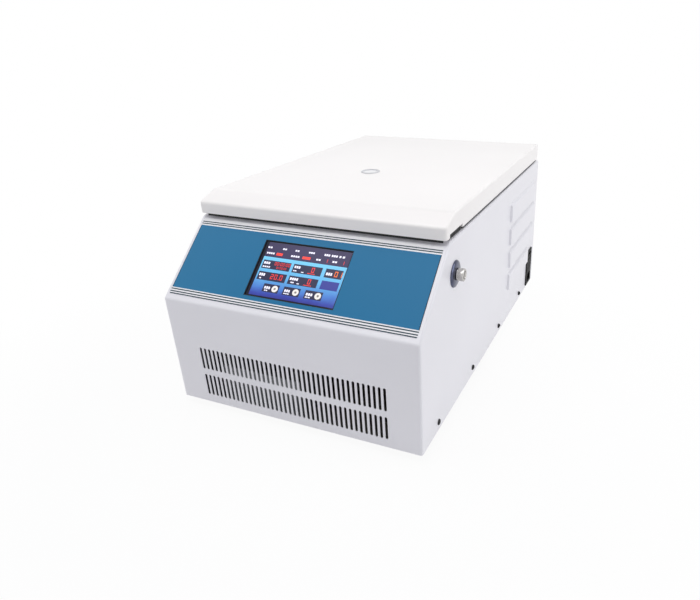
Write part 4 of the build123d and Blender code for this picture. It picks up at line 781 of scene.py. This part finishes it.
finish("dark_glass", (20, 22, 42), "touch_screen", shade=0.85, patch=14.0, rough=0.08, spread=0.02,
       grain=500.0, depth=0.000002, specular=0.25)
lit_left, lit_right, lit_low, lit_high = 0.045, 0.985, 0.035, 0.975
glass_depth = sheet_steel


def on_glass(u, t, lift):
    """Point of the picture: u to the right and t down the window, 0 to 1, lifted off the glass."""
    up = window_end - (window_end - window_start) * t
    out = lift - glass_depth
    return (window_low + (window_high - window_low) * u,
            up * math.cos(slope) - out * math.sin(slope),
            crease_z + up * math.sin(slope) + out * math.cos(slope))


seal_width, foot = 0.0011, 0.00005
wide_u = seal_width / (window_high - window_low)
wide_t = seal_width / (window_end - window_start)
frame_mesh = bmesh.new()
rings = [[frame_mesh.verts.new(on_glass(u, t, lift)) for u, t in
          ((du, dt), (1 - du, dt), (1 - du, 1 - dt), (du, 1 - dt))]
         for du, dt, lift in ((0.0, 0.0, foot), (0.0, 0.0, glass_depth),
                              (wide_u, wide_t, glass_depth), (wide_u, wide_t, foot))]
join_rows(frame_mesh, rings + rings[:1], closed=True)
place_piece(built("screen_seal", frame_mesh, outwards=True), rubber, "cabinet", "rubber")


def picture(name, material, lift, boxes=(), discs=()):
    """Flat shapes of the picture in one finish: boxes as (u0, t0, u1, t1), discs as (u, t, r)."""
    drawn = bmesh.new()
    for u0, t0, u1, t1 in boxes:
        drawn.faces.new([drawn.verts.new(on_glass(u, t, lift))
                         for u, t in ((u0, t1), (u1, t1), (u1, t0), (u0, t0))])
    stretch = (window_high - window_low) / (window_end - window_start)
    for u, t, r in discs:
        drawn.faces.new([drawn.verts.new(on_glass(u + r * math.cos(a), t - r * stretch
                                                  * math.sin(a), lift))
                         for a in [math.tau * k / 28 for k in range(28)]])
    place_piece(built(name, drawn), material, "cabinet", "screen_glass")


segments = {"0": "abcdef", "1": "bc", "2": "abged"}


def figures(text, u, t, height):
    """Seven-segment figures as boxes, `u` and `t` at their top left corner."""
    wide, bar, boxes = height * 0.36, height * 0.13, []
    thin = bar * 0.55
    lines = {"a": (0, 0, wide, bar), "g": (0, (height - bar) / 2, wide, (height + bar) / 2),
             "d": (0, height - bar, wide, height), "f": (0, 0, thin, height / 2),
             "b": (wide - thin, 0, wide, height / 2), "e": (0, height / 2, thin, height),
             "c": (wide - thin, height / 2, wide, height)}
    for letter in text:
        if letter in ":.":
            spots = (0.3, 0.7) if letter == ":" else (0.93,)
            boxes += [(u, t + height * s - thin, u + thin, t + height * s + thin) for s in spots]
            u += 2.4 * thin
            continue
        boxes += [(u + a, t + b, u + c, t + d) for a, b, c, d in
                  (lines[s] for s in segments[letter])]
        u += wide * 1.45
    return boxes


lift_sheet, lift_strip, lift_box = 0.0001, 0.00015, 0.00018
lift_print, lift_mark = 0.00022, 0.00026
# the backdrop runs from sky blue above into violet along its foot
backdrop = lit("display_backdrop", (120, 198, 238), 0.42)
tree = backdrop.node_tree
wavy = maths(tree, "MULTIPLY_ADD", tree.nodes["Noise Texture"], 0.12,
             up_slope(tree, window_start, window_end))
blend = put(tree, "ShaderNodeValToRGB", {"Fac": wavy})
fill_ramp(blend.color_ramp, [(height, (*tint(*swatch), 1.0)) for height, swatch in (
    (0.06, (50, 46, 122)), (0.15, (54, 68, 156)), (0.25, (72, 118, 192)),
    (0.45, (96, 168, 216)), (0.78, (116, 194, 230)))])
feed(tree.nodes["Principled BSDF"], {"Base Color": blend, "Emission Color": blend})
picture("display_backdrop_sheet", backdrop, lift_sheet,
        [(lit_left, 1 - lit_high, lit_right, 1 - lit_low)])
picture("display_strip", lit("display_strip", (62, 56, 90), 0.3), lift_strip,
        [(lit_left, 1 - lit_high, lit_right, 0.285)])
box_rows = ((0.345, 0.495), (0.55, 0.695), (0.745, 0.885))
box_columns = ((0.062, 0.385), (0.415, 0.737), (0.775, 0.962))
keys = ((0.175, 0.355), (0.405, 0.59), (0.645, 0.835))
value_boxes = [(u0, t0, u1, t1) for t0, t1 in box_rows[:2] for u0, u1 in box_columns]
key_boxes = [(u0, box_rows[2][0], u1, box_rows[2][1]) for u0, u1 in keys]
picture("display_boxes", lit("display_box", (50, 50, 78), 0.25), lift_box,
        value_boxes[:5] + key_boxes)
picture("display_blank_box", lit("display_blank", (60, 66, 150), 0.3), lift_box,
        value_boxes[5:])
bars, letter_width, letter_share = [], 0.024, 0.78
for t, high, spans in (
        (0.105, 0.028, ((0.05, 0.105), (0.225, 0.275), (0.37, 0.42), (0.525, 0.595))),
        (0.105, 0.034, ((0.70, 0.765), (0.78, 0.85), (0.865, 0.89), (0.90, 0.93))),
        (0.205, 0.03, ((0.06, 0.155), (0.345, 0.445), (0.63, 0.685), (0.81, 0.865))),
        (0.375, 0.04, ((0.075, 0.15), (0.43, 0.5))), (0.45, 0.024, ((0.075, 0.165),)),
        (0.45, 0.02, ((0.43, 0.47),)), (0.462, 0.014, ((0.52, 0.555),)),
        (0.41, 0.045, ((0.79, 0.86),)), (0.58, 0.045, ((0.075, 0.145),)),
        (0.655, 0.02, ((0.09, 0.115),)), (0.58, 0.042, ((0.43, 0.525),)),
        (0.65, 0.022, ((0.45, 0.49),)), (0.662, 0.014, ((0.52, 0.555),)),
        (0.79, 0.042, ((0.19, 0.26), (0.42, 0.485), (0.66, 0.735))),
        (0.85, 0.018, ((0.2, 0.24), (0.42, 0.485), (0.66, 0.72)))):
    for u0, u1 in spans:
        count = max(1, round((u1 - u0) / letter_width))
        step = (u1 - u0) / count
        bars += [(u0 + step * k, t, u0 + step * (k + letter_share), t + high)
                 for k in range(count)]
picture("display_bars", lit("display_white", (238, 236, 250), 0.55), lift_print, bars)
red_marks = [(0.175, 0.2, 0.245, 0.245), (0.475, 0.2, 0.565, 0.245),
             (0.59, 0.468, 0.675, 0.478), (0.595, 0.668, 0.68, 0.678)]
for text, u, t, height in (
        ("1", 0.735, 0.19, 0.06), ("1", 0.915, 0.19, 0.06), ("00:00:00", 0.2, 0.363, 0.054),
        ("00:00:00", 0.235, 0.44, 0.034), ("0", 0.625, 0.365, 0.085),
        ("20.0", 0.21, 0.575, 0.085), ("0", 0.63, 0.565, 0.085)):
    red_marks += figures(text, u, t, height)
picture("display_red_figures", lit("display_red", (236, 66, 58), 0.7), lift_print, red_marks)
picture("display_orange_figures", lit("display_orange", (240, 120, 50), 0.7), lift_print,
        figures("01", 0.88, 0.375, 0.09))
disc_inset, disc_t, disc_radius, mark_radius = 0.045, 0.815, 0.034, 0.012
disc_places = [(u1 - disc_inset, disc_t) for _, u1 in keys]
picture("display_key_discs", lit("display_disc", (226, 222, 218), 0.5), lift_print,
        discs=[(*place, disc_radius) for place in disc_places])
picture("display_key_marks", lit("display_mark", (140, 132, 128), 0.25), lift_mark,
        discs=[(*place, mark_radius) for place in disc_places])

# ---- Release knob ----
# Turned brass, chromed and polished: a low rosette on the side panel, and a pull knob with a
# grooved barrel and a recessed face whose stem runs through the panel to the lock.  The rosette's
# chrome has a dark bluish reflection painted into its colour.
chrome = finish("polished_chrome", (198, 196, 194), shade=0.8, patch=160.0, rough=0.07,
                spread=0.03, grain=2500.0, depth=0.000003, metal=1.0)
# dark bluish base colour of the rosette: a painted reflection of dark surroundings
dark_chrome = finish("dark_chrome", (92, 96, 118), shade=0.6, patch=120.0, rough=0.08, spread=0.03,
                     grain=2500.0, depth=0.000003, metal=1.0)
knob_low, knob_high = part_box("release_knob")
rosette_low, rosette_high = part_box("release_rosette")
knob_middle = (half_width, (knob_low.y + knob_high.y) / 2, (knob_low.z + knob_high.z) / 2)
knob_radius = (knob_high.y - knob_low.y) / 2
rosette_radius = (rosette_high.y - rosette_low.y) / 2
stem_radius = 0.005
rosette_top = rosette_high.x - half_width
knob_face = knob_high.x - half_width
rosette_edge = 0.0007
rosette = lathe("turned_rosette", [(stem_radius, 0.0), (rosette_radius, 0.0),
                                   (rosette_radius, rosette_edge)]
                + arc((knob_radius, rosette_edge), rosette_radius - knob_radius, 10, 80, 7,
                      rosette_top - rosette_edge)
                + [(knob_radius, rosette_top), (stem_radius, rosette_top)],
                knob_middle, "X", steps=128)
place_piece(rosette, dark_chrome, "cabinet", "chrome_trim", "release_rosette")
barrel_start = rosette_top + fit_gap
barrel_edge, groove_radius, face_edge = 0.0006, 0.0005, 0.001
knob_profile = [(0.0, knob_low.x - half_width), (stem_radius, knob_low.x - half_width),
                (stem_radius, barrel_start), (knob_radius - barrel_edge, barrel_start),
                (knob_radius, barrel_start + barrel_edge)]
for start in (0.25, 0.42):
    groove = barrel_start + (knob_face - barrel_start) * start
    knob_profile += [(knob_radius, groove),
                     *arc((knob_radius, groove + groove_radius), groove_radius, -90, -270, 5),
                     (knob_radius, groove + 2 * groove_radius)]
knob_profile += arc((knob_radius - face_edge, knob_face - face_edge), face_edge, 0, 90)
recess_wall = ((0.0028, 0.0), (0.0032, 0.0008), (0.0034, 0.0024))
recess_floor = ((0.0028, 0.0025), (0.0022, 0.0018), (0.0, 0.0016))
knob_profile += [(knob_radius - inset, knob_face - down) for inset, down in recess_wall]
knob_profile += [(out, knob_face - down) for out, down in recess_floor]
place_piece(lathe("turned_knob", knob_profile, knob_middle, "X", steps=128), chrome,
            "release_knob", "chrome_trim", "release_knob")

# ---- Power inlet ----
# Snap-in appliance inlet of black glass-filled plastic with a socket, a fuse drawer and a
# rocker; three brass blades stand in the socket.
black_plastic = finish("black_plastic", (18, 18, 20), "power_inlet", "power_rocker", "fan_frame",
                       "fan_impeller", shade=0.8, patch=80.0, rough=0.55, grain=2600.0,
                       specular=0.15, depth=0.00002)
finish("brass_blades", (196, 166, 96), "inlet_pins", shade=0.85, patch=200.0, rough=0.28,
       grain=1800.0, depth=0.000004, metal=1.0, spread=0.06)

# ---- Bowl ----
# Spun stainless bowl with a rolled rim that hangs in the deck, a plain floor and a rubber boot
# at the spindle.  Foam surrounds it, with the evaporator tube against its wall.
spun_steel = finish("spun_stainless", (196, 197, 198), shade=0.88, patch=30.0, rough=0.26,
                    grain=240.0, depth=0.000012, metal=1.0, stretch=(1.0, 1.0, 14.0))
bowl_low, bowl_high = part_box("bowl")
rotor_y = (bowl_low.y + bowl_high.y) / 2
bowl_sheet, bowl_corner, bowl_hole = 0.0012, 0.018, 0.022
rim_outer = (bowl_high.x - bowl_low.x) / 2
bowl_radius = 0.150
rim_inner = bowl_radius + bowl_sheet
floor_z = bowl_low.z
inner = [(bowl_hole, floor_z + bowl_sheet)]
inner += arc((bowl_radius - bowl_corner, floor_z + bowl_sheet + bowl_corner), bowl_corner,
             -90, 0, 12)
inner += arc((rim_inner + bowl_sheet, bowl_high.z - bowl_sheet), 2 * bowl_sheet, 180, 90, 5)[1:-1]
outer = [(rim_outer - bowl_sheet / 2, bowl_high.z), (rim_outer, bowl_high.z - bowl_sheet / 3),
         (rim_outer, bowl_high.z - bowl_sheet), (rim_inner + bowl_sheet, bowl_high.z - bowl_sheet),
         (rim_inner, bowl_high.z - 2 * bowl_sheet)]
outer += arc((bowl_radius - bowl_corner, floor_z + bowl_sheet + bowl_corner),
             bowl_corner + bowl_sheet, 0, -90, 12) + [(bowl_hole, floor_z)]
spun_bowl = lathe("spun_bowl", inner + outer, (0.0, rotor_y, 0.0), steps=192)
place_piece(spun_bowl, spun_steel, "cabinet", "stainless", "bowl")
finish("foam_jacket", (222, 206, 160), "bowl_insulation", shade=0.86, patch=35.0, rough=0.85,
       spread=0.05, grain=300.0, depth=0.0006, specular=0.15)
finish("copper_tube", (196, 122, 84), "evaporator_coil", shade=0.8, spread=0.1, metal=1.0)

# ---- Rotor ----
# Cast aluminium carrier with six pairs of ears, turned and anodised.  A clear dome stands on
# its rim, held by a black lobed knob that screws down on the steel stud in the hub.
finish("anodised_casting", (178, 181, 186), "rotor_carrier", patch=26.0, rough=0.34, grain=1100.0,
       depth=0.000014, metal=0.9, spread=0.06)
clear_plastic = finish("clear_cover", (236, 240, 242), shade=0.97, patch=12.0, rough=0.06,
                       spread=0.02, grain=500.0, depth=0.000003,
                       optics={"Transmission Weight": 0.94, "IOR": 1.46})
coat_node(bright_steel, "spindle", "spindle_bearings", "cover_stud")
cover_low, cover_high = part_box("rotor_cover")
cover_radius = (cover_high.x - cover_low.x) / 2
cover_wall = 0.0025
stud_hole = 0.0053


def dome(inset):
    """Profile of the cover from its foot to the stud hole, drawn in by `inset`."""
    top_z, shoulder = cover_high.z - inset, 0.030 - inset
    bend = arc((cover_radius - inset - shoulder, top_z - shoulder), shoulder, 0, 90, 7)
    return [(cover_radius - inset, cover_low.z), *bend, (stud_hole, top_z)]


clear_dome = lathe("clear_dome", dome(0.0) + dome(cover_wall)[::-1], (0.0, rotor_y, 0.0),
                   steps=160)
place_piece(clear_dome, clear_plastic, "rotor", "clear_plastic", "rotor_cover")

grip_low, grip_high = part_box("cover_knob")
grip_radius = (grip_high.y - grip_low.y) / 2
knob = bmesh.new()
bore, around, tilt, edge, groove = 0.00505, 144, math.pi / 6, 0.0018, 0.0042
dish_radius, dish_depth, sharpness = 0.0108, 0.0008, 1.6
stud_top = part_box("cover_stud")[1].z + fit_gap


def ring(z, radius_at):
    return [knob.verts.new((radius_at(a) * math.cos(a + tilt),
                            rotor_y + radius_at(a) * math.sin(a + tilt), z))
            for a in [math.tau * k / around for k in range(around)]]


def lobes(z, inset):
    return ring(z, lambda a: grip_radius - inset
                - groove * max(0.0, -math.cos(6 * a)) ** sharpness)


rings = [ring(stud_top, lambda a: bore), ring(grip_low.z, lambda a: bore)]
bends = [math.radians(a) for a in (0, 30, 60, 90)]
rings += [lobes(grip_low.z + edge * (1 - math.cos(a)), edge * (1 - math.sin(a))) for a in bends]
rings += [lobes(grip_high.z - edge * (1 - math.sin(a)), edge * (1 - math.cos(a))) for a in bends]
rings += [ring(grip_high.z - down, lambda a: dish_radius - down) for down in (0.0, dish_depth)]
join_rows(knob, rings, closed=True)
knob.faces.new(rings[0][::-1])
knob.faces.new(rings[-1])
place_piece(built("lobed_grip", knob, outwards=True), black_plastic, "cover_knob",
            "black_plastic", "cover_knob")

# ---- Slide holders ----
# Bent stainless clips that swing on trunnions between the ears; each clamps a white moulded
# sample chamber with its funnel against the slide.
places = range(1, 7)
finish("clip_steel", (200, 200, 200), *[f"slide_clip_{k}" for k in places], rough=0.22,
       depth=0.000006, metal=1.0)
finish("chamber_plastic", (236, 236, 232), *[f"sample_chamber_{k}" for k in places], shade=0.96,
       rough=0.42, spread=0.05, grain=1500.0)

# ---- Drive and cooling ----
# Induction motor on four rubber mounts, sealed compressor, finned condenser with its fan, the
# motor drive and the control board, all screwed to the tray or the console.
finish("motor_casting", (150, 153, 156), "motor", "motor_drive", shade=0.88, patch=40.0, rough=0.5,
       grain=700.0, depth=0.00004, metal=0.8)
finish("compressor_paint", (24, 24, 26), "compressor", shade=0.85, patch=20.0, rough=0.22,
       spread=0.05, grain=600.0, coat=0.3, depth=0.00002)
finish("aluminium_fins", (192, 194, 197), "condenser", patch=90.0, rough=0.35, metal=1.0)
finish("solder_resist", (22, 96, 52), "control_board", shade=0.75, patch=260.0, grain=1600.0,
       coat=0.2, spread=0.06)
